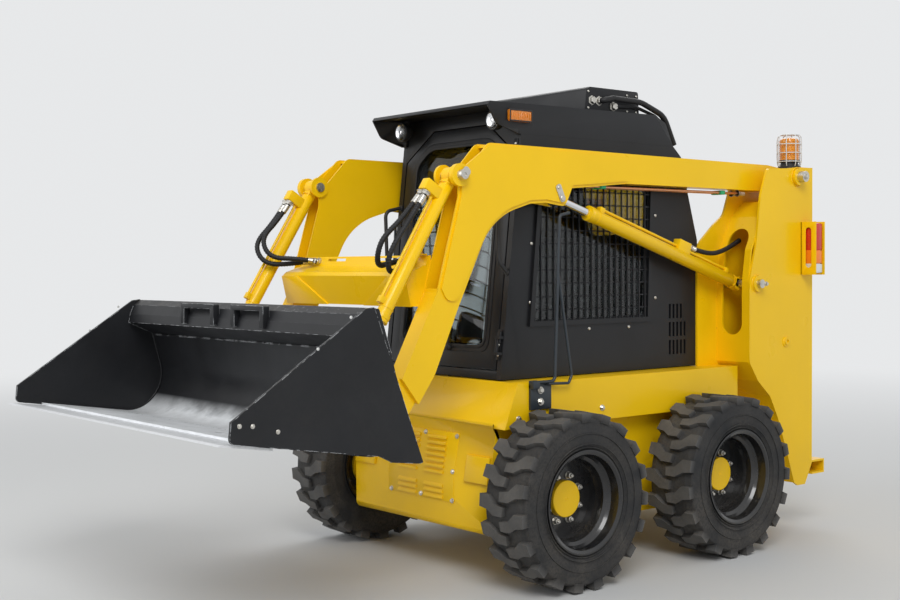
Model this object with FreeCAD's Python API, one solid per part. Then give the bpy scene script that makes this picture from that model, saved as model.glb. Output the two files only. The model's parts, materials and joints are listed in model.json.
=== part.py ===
import FreeCAD, Part
import math
import os

V = FreeCAD.Vector

# Frame: X forward, Y to the machine's left, Z up, ground at Z = 0, millimetres.

# Running gear
WHEELBASE = 1040.0
FRONT_AXLE_X = 100.0
REAR_AXLE_X = FRONT_AXLE_X - WHEELBASE
TYRE_RADIUS = 385.0
AXLE_Z = TYRE_RADIUS
TYRE_WIDTH = 264.0
TRACK_HALF = 728.0
LUG_DEPTH = 25.0
LUGS_PER_SIDE = 19
LUG_CORNER = 54.0
RIM_SEAT_RADIUS = 212.0
RIM_FLANGE_RADIUS = 225.0
RIM_HALF = 114.0
RIM_WALL = 7.0
RIM_DISC_Y = 694.0
RIM_DISC_THICKNESS = 12.0
HUB_CAP_RADIUS = 80.0
HUB_CAP_Y = 734.0
HUB_FLANGE_RADIUS = 128.0
HUB_FLANGE_THICKNESS = 14.0
SPINDLE_RADIUS = 40.0
SPINDLE_LENGTH = 116.0
HOUSING_RADIUS = 64.0

# Clearances
RUNNING_FIT = 0.05
SEAT_GAP = 0.3
SIDE_GAP = 5.0

# Hull
PLATE = 10.0
HULL_HALF = 498.0
HULL_FRONT_X = 338.0
HULL_REAR_X = -1275.0
HULL_BOTTOM_Z = 211.0
FENDER_HALF = 575.0
FENDER_BOTTOM_Z = 686.0
FENDER_TOP_Z = 882.0
FENDER_FRONT_TOP_X = 239.0
FENDER_FRONT_LOW_X = 316.0
WELL_FRONT_X = 195.0
WELL_REAR_X = -330.0
WELL_HALF = 385.0
WELL_FLOOR_Z = 470.0
REAR_BELLY_Z = 237.0

# Towers that carry the lift arms
TOWER_INNER_Y = 430.0
TOWER_OUTER_Y = 650.0
TOWER_PLATE = 12.0
TOWER_REAR_X = -1805.0
TOWER_TOP_Z = 1905.0
TOWER_CAP_FRONT_X = -1705.0

# Lift arms, cylinders and coupler: pin centres in side view
LIFT_PIVOT = (-1670.0, 1851.0)
LIFT_BASE_PIN = (-1335.0, 1299.0)
LIFT_ROD_PIN = (-45.0, 1700.0)
TILT_TOP_PIN = (565.0, 1775.0)
TILT_ROD_PIN = (1043.0, 1013.0)
COUPLER_PIVOT = (960.0, 775.0)
ARM_INNER_Y = 475.0
ARM_OUTER_Y = 564.0
ARM_PLATE = 6.5
ARM_TOP_Z = 1912.0
ARM_BOTTOM_Z = 1777.0
ARM_CENTRE_Y = (ARM_INNER_Y + ARM_OUTER_Y) / 2
OVERLAY = 8.0
PIN_RADIUS = 22.0
PIVOT_PIN_RADIUS = 28.0
FOOT_WIDTH = 50.0
EAR_PLATE = 13.0

# Cylinders: barrel length runs from its pin, rod length back from the centre of its eye
LIFT_BARREL_RADIUS = 33.0
LIFT_ROD_RADIUS = 20.0
LIFT_BARREL_LENGTH = 1132.0
LIFT_ROD_LENGTH = 810.0
TILT_BARREL_RADIUS = 30.0
TILT_ROD_RADIUS = 16.0
TILT_BARREL_LENGTH = 705.0
TILT_ROD_LENGTH = 670.0
BARREL_WALL = 6.0
EYE_WIDTH = 48.0
EYE_RADIUS = 36.0

# Cab
CAB_HALF = 430.0
CAB_WALL = 30.0
CAB_BOTTOM_Z = 886.0
CAB_FRONT_LOW_X = 211.0
CAB_FRONT_TOP_X = 80.0
CAB_ROOF_Z = 1987.0
CAB_TOP_Z = 2122.0
CAB_REAR_X = -1133.0
VISOR_FRONT_X = 278.0
DOOR_BOTTOM_Z = 930.0
DOOR_TOP_Z = 1914.0
DOOR_HALF = 392.0
DOOR_THICKNESS = 32.0
GLASS = 6.0
GUARD_BAR = 6.0
GUARD_CELL_X = 41.0
GUARD_CELL_Z = 61.0

# Bucket, with the rolled-back pose of the photograph
BUCKET_HALF = 939.0
BUCKET_SIDE = 12.0
BUCKET_SHELL = 10.0
COUPLER_PLATE = 36.0

# Engine cover and rear door
HOOD_TOP_Z = 1480.0
HOOD_FRONT_X = -1150.0
DOOR_REAR_X = -1846.0
REAR_DOOR_THICKNESS = 36.0
REAR_DOOR_HALF = 412.0
REAR_DOOR_BOTTOM_Z = 370.0
REAR_DOOR_TOP_Z = 1415.0
GRILLE_HALF = 300.0
GRILLE_BOTTOM_Z = 560.0
GRILLE_TOP_Z = 1280.0
GRILLE_PITCH = 46.0
BUMPER_REAR_X = -1915.0

# Seat
SEAT_BASE_TOP_Z = 1002.0
SEAT_TOP_Z = 1080.0

# Door and cover hinges
HINGE_PIN_RADIUS = 8.0
KNUCKLE_RADIUS = 14.0
KNUCKLE_LENGTH = 60.0
HINGE_LUG = 12.0
HINGE_TAB = 44.0
HINGE_OFFSET = 16.0
CAB_HINGE_Y = DOOR_HALF + 12.0
CAB_HINGE_Z = (1041.0, 1780.0)
REAR_HINGE_Y = REAR_DOOR_HALF + 12.0
REAR_HINGE_Z = (500.0, 1300.0)
HOOD_HINGE = (HOOD_FRONT_X - 15.0, HOOD_TOP_Z + 10.0)
HOOD_KNUCKLE_INNER_Y = 385.0


def outline(points, place):
    """Closed wire through (a, b) or (a, b, corner radius) points; place turns (a, b) into a vector."""
    count = len(points)
    corners = [V(point[0], point[1], 0) for point in points]
    pieces = []
    for i, point in enumerate(points):
        corner = corners[i]
        radius = point[2] if len(point) > 2 else 0
        if radius == 0:
            pieces.append((corner, None, corner))
            continue
        back = (corners[i - 1] - corner).normalize()
        ahead = (corners[(i + 1) % count] - corner).normalize()
        half = back.getAngle(ahead) / 2
        setback = radius / math.tan(half)
        toward = (back + ahead).normalize()
        middle = corner + toward * (radius / math.sin(half) - radius)
        pieces.append((corner + back * setback, middle, corner + ahead * setback))
    edges = []
    for i, (start, middle, end) in enumerate(pieces):
        if middle is not None:
            arc = Part.Arc(place(start.x, start.y), place(middle.x, middle.y), place(end.x, end.y))
            edges.append(arc.toShape())
        following = pieces[(i + 1) % count][0]
        if (following - end).Length > 1e-6:
            edges.append(Part.makeLine(place(end.x, end.y), place(following.x, following.y)))
    return Part.Wire(edges)


def plate_xz(points, y0, y1):
    """Side-view outline (x, z) made into a plate between two Y planes."""
    face = Part.Face(outline(points, lambda a, b: V(a, y0, b)))
    return face.extrude(V(0, y1 - y0, 0))


def plate_yz(points, x0, x1):
    """Front-view outline (y, z) made into a plate between two X planes."""
    face = Part.Face(outline(points, lambda a, b: V(x0, a, b)))
    return face.extrude(V(x1 - x0, 0, 0))


def plate_xy(points, z0, z1):
    """Plan-view outline (x, y) made into a plate between two Z planes."""
    face = Part.Face(outline(points, lambda a, b: V(a, b, z0)))
    return face.extrude(V(0, 0, z1 - z0))


def box(x0, x1, y0, y1, z0, z1):
    return Part.makeBox(x1 - x0, y1 - y0, z1 - z0, V(x0, y0, z0))


def round_y(centre, radius, y0, y1):
    """Round bar along Y through a side-view centre (x, z)."""
    return Part.makeCylinder(radius, y1 - y0, V(centre[0], y0, centre[1]), V(0, 1, 0))


def bar(start, end, radius):
    """Round bar between two points."""
    return Part.makeCylinder(radius, (end - start).Length, start, end - start)


def fused(shapes):
    result = shapes[0]
    if len(shapes) > 1:
        result = shapes[0].fuse(shapes[1:])
    return result.removeSplitter()


def mirrored(shape):
    return shape.mirror(V(0, 0, 0), V(0, 1, 0))


def offset_line(points, thickness):
    """Closed outline of a bent plate: an open line of (x, z) points and its copy moved to the left."""
    moved = []
    for i, (x, z) in enumerate(points):
        before = V(x - points[i - 1][0], 0, z - points[i - 1][1]) if i > 0 else None
        after = V(points[i + 1][0] - x, 0, points[i + 1][1] - z) if i + 1 < len(points) else None
        first = (before or after).normalize()
        second = (after or before).normalize()
        normal_a = V(-first.z, 0, first.x)
        normal_b = V(-second.z, 0, second.x)
        middle = (normal_a + normal_b).normalize()
        length = thickness / max(0.3, middle.dot(normal_a))
        moved.append((x + middle.x * length, z + middle.z * length))
    return list(points) + moved[::-1]


def export(name, shape):
    """Writes one sub-part: a shape, or a list of like shapes that don't touch."""
    shapes = shape if isinstance(shape, list) else [shape]
    solids = [solid for piece in shapes for solid in piece.Solids]
    result = solids[0] if len(solids) == 1 else Part.makeCompound(solids)
    result.exportStep("parts/" + name + ".step")


# Wheels

def wheel_place(shape, x, side):
    """Puts a wheel piece, made about the origin with its outer face at +Y, on its axle."""
    placed = shape.copy()
    placed.translate(V(x, 0, AXLE_Z))
    return placed if side > 0 else mirrored(placed)


def revolve_y(points):
    """Solid of revolution about the Y axis from (radius, y) points."""
    face = Part.Face(outline(points, lambda a, b: V(a, b, 0)))
    return face.revolve(V(0, 0, 0), V(0, 1, 0), 360)


def make_tyre():
    half = TYRE_WIDTH / 2
    tread = TYRE_RADIUS - LUG_DEPTH
    centre = TRACK_HALF
    bead = RIM_HALF - SEAT_GAP
    section = [
        (RIM_SEAT_RADIUS + SEAT_GAP, centre - bead), (RIM_FLANGE_RADIUS + SEAT_GAP, centre - bead),
        (250, centre - half + 8), (300, centre - half + 2),
        (tread - 8, centre - half + 6, 10), (tread, centre - 90), (tread, centre + 90),
        (tread - 8, centre + half - 6, 10), (300, centre + half - 2), (250, centre + half - 8),
        (RIM_FLANGE_RADIUS + SEAT_GAP, centre + bead), (RIM_SEAT_RADIUS + SEAT_GAP, centre + bead),
        (RIM_SEAT_RADIUS + SEAT_GAP, centre + bead - 22), (tread - 24, centre + 96), (tread - 24, centre - 96),
        (RIM_SEAT_RADIUS + SEAT_GAP, centre - bead + 22)]
    carcass = revolve_y(section)
    # Lug outline: (along the tread, outward from the centre line)
    lug_outline = [(-30, half), (24, half), (32, 84), (LUG_CORNER, 46), (LUG_CORNER, -8), (14, -14), (6, 40),
                   (-30, 82)]
    lug_top = math.sqrt(TYRE_RADIUS ** 2 - LUG_CORNER ** 2)
    lugs = []
    step = 360.0 / LUGS_PER_SIDE
    first = 180.0 - math.degrees(math.atan2(LUG_CORNER, lug_top))
    for side in (1, -1):
        points = [(a, centre + side * b) for a, b in lug_outline]
        lug = plate_xy(points, tread - 16, lug_top)
        for i in range(LUGS_PER_SIDE):
            turned = lug.copy()
            turn = first + step * (i + (0.5 if side < 0 else 0.0))
            turned.rotate(V(0, 0, 0), V(0, 1, 0), turn)
            lugs.append(turned)
    return carcass.fuse(lugs)


def make_rim():
    y = TRACK_HALF
    outer = [(RIM_FLANGE_RADIUS, y - RIM_HALF - 12), (RIM_FLANGE_RADIUS, y - RIM_HALF), (RIM_SEAT_RADIUS, y - RIM_HALF),
             (RIM_SEAT_RADIUS - 2, y - 76), (182, y - 62), (178, y + 10), (184, y + 24), (186, y + 48),
             (200, y + 58), (RIM_SEAT_RADIUS - 2, y + 72), (RIM_SEAT_RADIUS, y + RIM_HALF),
             (RIM_FLANGE_RADIUS, y + RIM_HALF), (RIM_FLANGE_RADIUS, y + RIM_HALF + 12)]
    inner = [(RIM_FLANGE_RADIUS - RIM_WALL, y + RIM_HALF + 12), (RIM_SEAT_RADIUS - RIM_WALL, y + RIM_HALF + 5),
             (RIM_SEAT_RADIUS - 2 - RIM_WALL, y + 72 + 4), (200 - RIM_WALL, y + 58 + 5),
             (186 - RIM_WALL, y + 48 + 4), (184 - RIM_WALL, y + 24), (178 - RIM_WALL, y + 10),
             (182 - RIM_WALL, y - 62 - 4), (RIM_SEAT_RADIUS - 2 - RIM_WALL, y - 76 - 5),
             (RIM_SEAT_RADIUS - RIM_WALL, y - RIM_HALF - 5), (RIM_FLANGE_RADIUS - RIM_WALL, y - RIM_HALF - 12)]
    barrel = revolve_y(outer + inner)
    inside = RIM_DISC_Y - RIM_DISC_THICKNESS / 2
    outside = RIM_DISC_Y + RIM_DISC_THICKNESS / 2
    hole = HUB_CAP_RADIUS + RUNNING_FIT
    disc = revolve_y([(hole, inside), (174, inside), (174, outside), (hole, outside)])
    return fused([barrel, disc])


def make_hub():
    seat = RIM_DISC_Y - RIM_DISC_THICKNESS / 2
    back = seat - HUB_FLANGE_THICKNESS
    section = [(0, back - SPINDLE_LENGTH), (SPINDLE_RADIUS, back - SPINDLE_LENGTH), (SPINDLE_RADIUS, back),
               (HUB_FLANGE_RADIUS, back), (HUB_FLANGE_RADIUS, seat), (HUB_CAP_RADIUS, seat),
               (HUB_CAP_RADIUS, HUB_CAP_Y, 4), (0, HUB_CAP_Y)]
    return revolve_y(section)


def axle_housing(x):
    """Fixed tube on the hull side that the hub's spindle turns in."""
    flange_y = RIM_DISC_Y - RIM_DISC_THICKNESS / 2 - HUB_FLANGE_THICKNESS
    end = flange_y - SEAT_GAP
    pad = box(x - 110, x + 110, HULL_HALF - 1, HULL_HALF + 12, AXLE_Z - 110, AXLE_Z + 110)
    tube = round_y((x, AXLE_Z), HOUSING_RADIUS, HULL_HALF - PLATE, end)
    bore = round_y((x, AXLE_Z), SPINDLE_RADIUS + RUNNING_FIT, flange_y - SPINDLE_LENGTH - 2, end + 1)
    return fused([pad, tube]).cut(bore)


# Hull

def make_chassis():
    tub = plate_xz([(HULL_FRONT_X, HULL_BOTTOM_Z, 30), (HULL_FRONT_X, FENDER_BOTTOM_Z + 20),
                    (HULL_REAR_X, FENDER_BOTTOM_Z + 20), (HULL_REAR_X, HULL_BOTTOM_Z + 40),
                    (HULL_REAR_X + 120, HULL_BOTTOM_Z)], -HULL_HALF, HULL_HALF)
    tub = tub.common(plate_xz([(HULL_FRONT_X, 0), (HULL_FRONT_X, FENDER_BOTTOM_Z),
                               (FENDER_FRONT_LOW_X, FENDER_BOTTOM_Z + 20), (HULL_REAR_X, FENDER_BOTTOM_Z + 20),
                               (HULL_REAR_X, 0)], -HULL_HALF, HULL_HALF))
    fender = plate_xz([(FENDER_FRONT_TOP_X, FENDER_TOP_Z), (FENDER_FRONT_LOW_X, FENDER_BOTTOM_Z),
                       (HULL_REAR_X, FENDER_BOTTOM_Z), (HULL_REAR_X, FENDER_TOP_Z)],
                      -FENDER_HALF, FENDER_HALF)
    tub_inside = box(HULL_REAR_X + PLATE, HULL_FRONT_X - PLATE, -HULL_HALF + PLATE, HULL_HALF - PLATE,
                     HULL_BOTTOM_Z + 50, FENDER_BOTTOM_Z - 2)
    fender_inside = plate_xz([(FENDER_FRONT_TOP_X - PLATE * 1.5, FENDER_TOP_Z - PLATE),
                              (FENDER_FRONT_LOW_X - PLATE * 1.5, FENDER_BOTTOM_Z + PLATE),
                              (HULL_REAR_X + PLATE, FENDER_BOTTOM_Z + PLATE),
                              (HULL_REAR_X + PLATE, FENDER_TOP_Z - PLATE)],
                             -FENDER_HALF + PLATE, FENDER_HALF - PLATE)
    throat = box(HULL_REAR_X + PLATE, FENDER_FRONT_LOW_X - 20, -HULL_HALF + PLATE, HULL_HALF - PLATE,
                 FENDER_BOTTOM_Z - 3, FENDER_BOTTOM_Z + PLATE + 1)
    shell = tub.fuse(fender).cut(tub_inside.fuse([fender_inside, throat]))
    well_out = box(WELL_REAR_X - PLATE, WELL_FRONT_X + PLATE, -WELL_HALF - PLATE, WELL_HALF + PLATE,
                   WELL_FLOOR_Z - PLATE, FENDER_TOP_Z)
    well_in = box(WELL_REAR_X, WELL_FRONT_X, -WELL_HALF, WELL_HALF, WELL_FLOOR_Z, FENDER_TOP_Z + 1)
    belly = box(TOWER_REAR_X + 60, HULL_REAR_X, -TOWER_INNER_Y, TOWER_INNER_Y, REAR_BELLY_Z, REAR_BELLY_Z + PLATE)
    belly = belly.fuse(box(HULL_REAR_X - 1, HULL_REAR_X + PLATE, -TOWER_INNER_Y, TOWER_INNER_Y,
                           REAR_BELLY_Z, REAR_BELLY_Z + 60))
    shapes = [shell, well_out, belly]
    for x in (FRONT_AXLE_X, REAR_AXLE_X):
        housing = axle_housing(x)
        shapes += [housing, mirrored(housing)]
    return fused(shapes).cut(well_in)


# Towers

def make_tower():
    """Left tower: inner and outer side plates, the bent web between them and a cap."""
    inner = plate_xz([(-1121, FENDER_TOP_Z), (-1121, 1471), (-1145, 1516, 30), (-1248, 1600),
                      (-1328, 1653, 60), (-1420, 1883), (TOWER_REAR_X, TOWER_TOP_Z),
                      (TOWER_REAR_X, 345), (-1745, REAR_BELLY_Z), (HULL_REAR_X - SEAT_GAP, REAR_BELLY_Z),
                      (HULL_REAR_X - SEAT_GAP, FENDER_TOP_Z)],
                     TOWER_INNER_Y, TOWER_INNER_Y + TOWER_PLATE)
    front_line = [(-1650, 254), (-1588, 420), (-1505, 615), (-1445, 720), (-1345, 805), (-1275, 903),
                  (-1275, 1310), (-1300, 1472), (-1385, 1640), (-1490, 1722)]
    outer = plate_xz([(-1745, REAR_BELLY_Z), (-1680, REAR_BELLY_Z), (-1650, 254, 10), (-1588, 420),
                      (-1505, 615, 80), (-1445, 720, 60), (-1345, 805), (-1275, 903, 60), (-1275, 1310, 60),
                      (-1330, 1500, 80), (-1365, 1747, 120), (-1420, 1884, 30), (TOWER_REAR_X, TOWER_TOP_Z),
                      (TOWER_REAR_X, 345)],
                     TOWER_OUTER_Y - TOWER_PLATE, TOWER_OUTER_Y)
    inner_end = TOWER_INNER_Y + TOWER_PLATE - 1
    outer_start = TOWER_OUTER_Y - TOWER_PLATE + 1
    web = plate_xz(offset_line(front_line, PLATE), inner_end, outer_start)
    slot_y = (inner_end + outer_start) / 2
    slot = plate_yz([(slot_y - 62, 1040, 60), (slot_y + 62, 1040, 60), (slot_y + 62, 1580, 60),
                     (slot_y - 62, 1580, 60)], -1420, -1240)
    web = web.cut(slot)
    rear = box(TOWER_REAR_X, TOWER_REAR_X + PLATE, inner_end, outer_start, 345, 1760)
    cap = box(TOWER_REAR_X, TOWER_CAP_FRONT_X, inner_end, outer_start, TOWER_TOP_Z - PLATE, TOWER_TOP_Z)
    pivot_boss = round_y(LIFT_PIVOT, 44, TOWER_OUTER_Y - 1, TOWER_OUTER_Y + 20)
    base_boss = round_y(LIFT_BASE_PIN, 41, TOWER_OUTER_Y - 1, TOWER_OUTER_Y + 14)
    small_boss = round_y((-1577, 999), 20, TOWER_OUTER_Y - 1, TOWER_OUTER_Y + 12)
    shapes = [inner, outer, web, rear, cap, pivot_boss, base_boss, small_boss]
    pivot_bore = round_y(LIFT_PIVOT, PIVOT_PIN_RADIUS, 0, TOWER_OUTER_Y + 30)
    base_bore = round_y(LIFT_BASE_PIN, PIN_RADIUS, 0, TOWER_OUTER_Y + 30)
    plug_bore = round_y((-1577, 999), 9, TOWER_OUTER_Y - 30, TOWER_OUTER_Y + 30)
    return fused(shapes).cut(pivot_bore.fuse([base_bore, plug_bore]))


def hood_pin():
    """Stub on the left tower's inner plate that the engine cover turns on."""
    return round_y(HOOD_HINGE, HINGE_PIN_RADIUS, HOOD_KNUCKLE_INNER_Y - SEAT_GAP, TOWER_INNER_Y + 1)


def rear_door_brackets():
    """Rear door hinge brackets, welded to the left tower."""
    bracket = hinge_bracket(-HINGE_PIN_RADIUS - 2, TOWER_REAR_X + 2 - DOOR_REAR_X + HINGE_OFFSET,
                            TOWER_INNER_Y + TOWER_PLATE - REAR_HINGE_Y - 2)
    return [place(bracket, DOOR_REAR_X - HINGE_OFFSET, REAR_HINGE_Y, z) for z in REAR_HINGE_Z]


def make_tower_pins():
    """Lift arm pivot pins and lift cylinder base pins, held in the towers' plates."""
    pivot = round_y(LIFT_PIVOT, PIVOT_PIN_RADIUS, TOWER_INNER_Y, TOWER_OUTER_Y + 56)
    base = round_y(LIFT_BASE_PIN, PIN_RADIUS, TOWER_INNER_Y, TOWER_OUTER_Y + 34)
    return [pivot, base, mirrored(pivot), mirrored(base)]


# Lift arms

def make_arm():
    """Left lift arm: two side plates, webs between them, the outer overlay and the foot."""
    side = [(-1540, ARM_TOP_Z), (394, ARM_TOP_Z + 8, 40), (563, 1684 + 60), (563, 1684, 30), (674, 1302),
            (678, 1287), (863, 938), (778, 830), (692, 948), (565, 1221), (399, 1550), (289, 1626),
            (153, 1667, 80), (62, 1674), (-62, 1660, 30), (-106, 1744), (-222, 1753), (-466, ARM_BOTTOM_Z),
            (-1515, ARM_BOTTOM_Z), (-1600, 1800, 20), (LIFT_PIVOT[0] - 50, 1801, 49),
            (LIFT_PIVOT[0] - 50, 1901, 49), (-1640, 1901)]
    inner = plate_xz(side, ARM_INNER_Y, ARM_INNER_Y + ARM_PLATE)
    outer = plate_xz(side, ARM_OUTER_Y - ARM_PLATE, ARM_OUTER_Y)
    y0 = ARM_INNER_Y + ARM_PLATE - 1
    y1 = ARM_OUTER_Y - ARM_PLATE + 1
    top = plate_xz(offset_line([(-1540, ARM_TOP_Z), (380, ARM_TOP_Z)], -PLATE), y0, y1)
    bottom = plate_xz(offset_line([(-1515, ARM_BOTTOM_Z), (-480, ARM_BOTTOM_Z)], PLATE), y0, y1)
    rear_edge = offset_line([(153, 1667), (289, 1626), (399, 1550), (565, 1221), (692, 948), (778, 830)], PLATE)
    front_edge = offset_line([(674, 1302), (678, 1287), (863, 938), (778, 830)], -PLATE)
    rear_web = plate_xz(rear_edge, y0, y1)
    front_web = plate_xz(front_edge, y0, y1)
    bulkhead = plate_xz(offset_line([(-1515, ARM_BOTTOM_Z), (-1540, ARM_TOP_Z)], -PLATE), y0, y1)
    pivot_tube = round_y(LIFT_PIVOT, 48, ARM_INNER_Y, ARM_OUTER_Y)
    foot_y0 = ARM_CENTRE_Y - FOOT_WIDTH / 2
    foot_y1 = ARM_CENTRE_Y + FOOT_WIDTH / 2
    qx, qz = COUPLER_PIVOT
    foot = plate_xz([(863, 938), (qx + 62, qz + 40, 40), (qx + 40, qz - 62, 55), (qx - 80, qz - 62, 40),
                     (692, 948)], foot_y0, foot_y1)
    overlay = plate_xz([(-467, ARM_TOP_Z - 12), (393, ARM_TOP_Z - 2, 40), (549, 1800, 40), (550, 1690, 30),
                        (660, 1302), (623, 1236, 45), (571, 1260, 40), (399, 1565), (289, 1641),
                        (153, 1682, 60), (62, 1688), (-62, 1672, 25), (-106, 1757), (-222, 1766), (-467, 1789)],
                       ARM_OUTER_Y - 1, ARM_OUTER_Y + OVERLAY)
    tilt_boss_out = round_y(TILT_TOP_PIN, 48, ARM_OUTER_Y - 1, ARM_OUTER_Y + 22)
    tilt_boss_in = round_y(TILT_TOP_PIN, 48, ARM_INNER_Y - 12, ARM_INNER_Y + 1)
    shapes = [inner, outer, top, bottom, rear_web, front_web, bulkhead, pivot_tube, foot, overlay,
              tilt_boss_out, tilt_boss_in]
    cuts = [round_y(LIFT_PIVOT, PIVOT_PIN_RADIUS + RUNNING_FIT, 0, 700),
            round_y(TILT_TOP_PIN, PIN_RADIUS, 0, 700),
            round_y(COUPLER_PIVOT, PIN_RADIUS + RUNNING_FIT, 0, 700)]
    return fused(shapes).cut(cuts[0].fuse(cuts[1:]))


def make_tilt_pins():
    """Pins that hold the tilt cylinders in the arms."""
    shaft = round_y(TILT_TOP_PIN, PIN_RADIUS, ARM_INNER_Y - 20, ARM_OUTER_Y + 52)
    head = round_y(TILT_TOP_PIN, PIN_RADIUS + 8, ARM_OUTER_Y + 22, ARM_OUTER_Y + 46)
    pin = fused([shaft, head])
    return [pin, mirrored(pin)]


def make_cross_member():
    """Box beam between the two arms, with its end gussets."""
    half = ARM_INNER_Y
    section = [(640, 1441), (652, 1441), (668, 1399), (752, 1371), (770, 1355), (740, 1228), (640, 1223)]
    inside = [(652, 1390), (668, 1389), (748, 1362), (758, 1350), (731, 1238), (652, 1233)]
    beam = plate_xz(section, -half, half).cut(plate_xz(inside, -half + PLATE, half - PLATE))
    window = box(630, 660, 120, 260, 1400, 1432)
    return beam.cut(window.fuse(mirrored(window)))


# Hydraulic cylinders, each made along +X from its barrel pin and then turned into place

def turn_to(shape, start, end, y):
    """Moves a shape made along +X from the origin so that it points from start to end in side view."""
    placed = shape.copy()
    angle = math.degrees(math.atan2(end[1] - start[1], end[0] - start[0]))
    placed.rotate(V(0, 0, 0), V(0, 1, 0), -angle)
    placed.translate(V(start[0], y, start[1]))
    return placed


def pin_distance(start, end):
    return math.hypot(end[0] - start[0], end[1] - start[1])


def barrel_shape(radius, rod_radius, length, pin_radius, port_x):
    bore = radius - BARREL_WALL
    tube = Part.makeCylinder(radius, length - 60, V(60, 0, 0), V(1, 0, 0))
    neck = box(0, 66, -EYE_WIDTH / 2, EYE_WIDTH / 2, -radius * 0.7, radius * 0.7)
    eye = Part.makeCylinder(EYE_RADIUS, EYE_WIDTH, V(0, -EYE_WIDTH / 2, 0), V(0, 1, 0))
    port = box(port_x, port_x + 55, -20, 20, radius * 0.6, radius + 34)
    end_port = box(length - 90, length - 60, -14, 14, radius * 0.6, radius + 20)
    pipe = bar(V(port_x + 50, 0, radius + 12), V(length - 80, 0, radius + 12), 7)
    hollow = Part.makeCylinder(bore, length - 110, V(90, 0, 0), V(1, 0, 0))
    rod_bore = Part.makeCylinder(rod_radius + RUNNING_FIT, 40, V(length - 30, 0, 0), V(1, 0, 0))
    pin_bore = Part.makeCylinder(pin_radius + RUNNING_FIT, EYE_WIDTH + 20, V(0, -EYE_WIDTH / 2 - 10, 0), V(0, 1, 0))
    return fused([tube, neck, eye, port, end_port, pipe]).cut(hollow.fuse([rod_bore, pin_bore]))


def rod_shape(eye_x, radius, length, piston_radius, pin_radius):
    """Rod whose eye centre lies at eye_x and whose piston end lies length behind it."""
    shaft = Part.makeCylinder(radius, length - 20, V(eye_x - length, 0, 0), V(1, 0, 0))
    piston = Part.makeCylinder(piston_radius, 30, V(eye_x - length, 0, 0), V(1, 0, 0))
    eye = Part.makeCylinder(EYE_RADIUS, EYE_WIDTH, V(eye_x, -EYE_WIDTH / 2, 0), V(0, 1, 0))
    hole = Part.makeCylinder(pin_radius, EYE_WIDTH + 20, V(eye_x, -EYE_WIDTH / 2 - 10, 0), V(0, 1, 0))
    return fused([shaft, piston, eye]).cut(hole)


def make_lift_cylinder():
    reach = pin_distance(LIFT_BASE_PIN, LIFT_ROD_PIN)
    barrel = barrel_shape(LIFT_BARREL_RADIUS, LIFT_ROD_RADIUS, LIFT_BARREL_LENGTH, PIN_RADIUS, 190)
    rod = rod_shape(reach, LIFT_ROD_RADIUS, LIFT_ROD_LENGTH, LIFT_BARREL_RADIUS - BARREL_WALL - RUNNING_FIT,
                    PIN_RADIUS)
    return (turn_to(barrel, LIFT_BASE_PIN, LIFT_ROD_PIN, ARM_CENTRE_Y),
            turn_to(rod, LIFT_BASE_PIN, LIFT_ROD_PIN, ARM_CENTRE_Y))


def make_tilt_cylinder():
    reach = pin_distance(TILT_TOP_PIN, TILT_ROD_PIN)
    barrel = barrel_shape(TILT_BARREL_RADIUS, TILT_ROD_RADIUS, TILT_BARREL_LENGTH, PIN_RADIUS, 92)
    rod = rod_shape(reach, TILT_ROD_RADIUS, TILT_ROD_LENGTH, TILT_BARREL_RADIUS - BARREL_WALL - RUNNING_FIT,
                    PIN_RADIUS)
    return (turn_to(barrel, TILT_TOP_PIN, TILT_ROD_PIN, ARM_CENTRE_Y),
            turn_to(rod, TILT_TOP_PIN, TILT_ROD_PIN, ARM_CENTRE_Y))


# Bucket and quick coupler

BUCKET_BACK = [(1760, 782), (1253, 702), (1190, 704), (1138, 760), (1129, 819), (1201, 1084)]


def back_wall_point(along, behind):
    """Point a distance up the bucket's back wall from its heel bend, and a distance behind the wall."""
    low = V(BUCKET_BACK[4][0], 0, BUCKET_BACK[4][1])
    high = V(BUCKET_BACK[5][0], 0, BUCKET_BACK[5][1])
    up = (high - low).normalize()
    point = low + up * along + V(-up.z, 0, up.x) * behind
    return (point.x, point.z)


def make_bucket():
    shell = plate_xz(offset_line(BUCKET_BACK, -BUCKET_SHELL), -BUCKET_HALF + 2, BUCKET_HALF - 2)
    lip = plate_xz([(1197, 1078), (1252, 1240), (1274, 1244), (1307, 1221), (1326, 1179), (1334, 1139)],
                   -BUCKET_HALF + 2, BUCKET_HALF - 2)
    lip_inside = plate_xz([(1214, 1094), (1259, 1228), (1272, 1231), (1298, 1213), (1316, 1177), (1321, 1146)],
                          -BUCKET_HALF + BUCKET_SIDE, BUCKET_HALF - BUCKET_SIDE)
    side = plate_xz([(1877, 802, 20), (1870, 875), (1313, 1242), (1274, 1247, 6), (1053, 662), (1067, 658, 6),
                     (1195, 674), (1253, 702)], BUCKET_HALF - BUCKET_SIDE, BUCKET_HALF)
    heel = plate_xz(offset_line([(1330, 714), (1253, 702), (1190, 704)], 8), -BUCKET_HALF + 60, BUCKET_HALF - 60)
    return fused([shell, lip, side, mirrored(side), heel]).cut(lip_inside)


def make_cutting_edge():
    """Wear edge bolted under the front of the floor."""
    return plate_xz([(1700, 772.5 - 10), (1900, 794), (1915, 796), (1900, 801), (1700, 772.5)],
                    -BUCKET_HALF + BUCKET_SIDE + 1, BUCKET_HALF - BUCKET_SIDE - 1)


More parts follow.
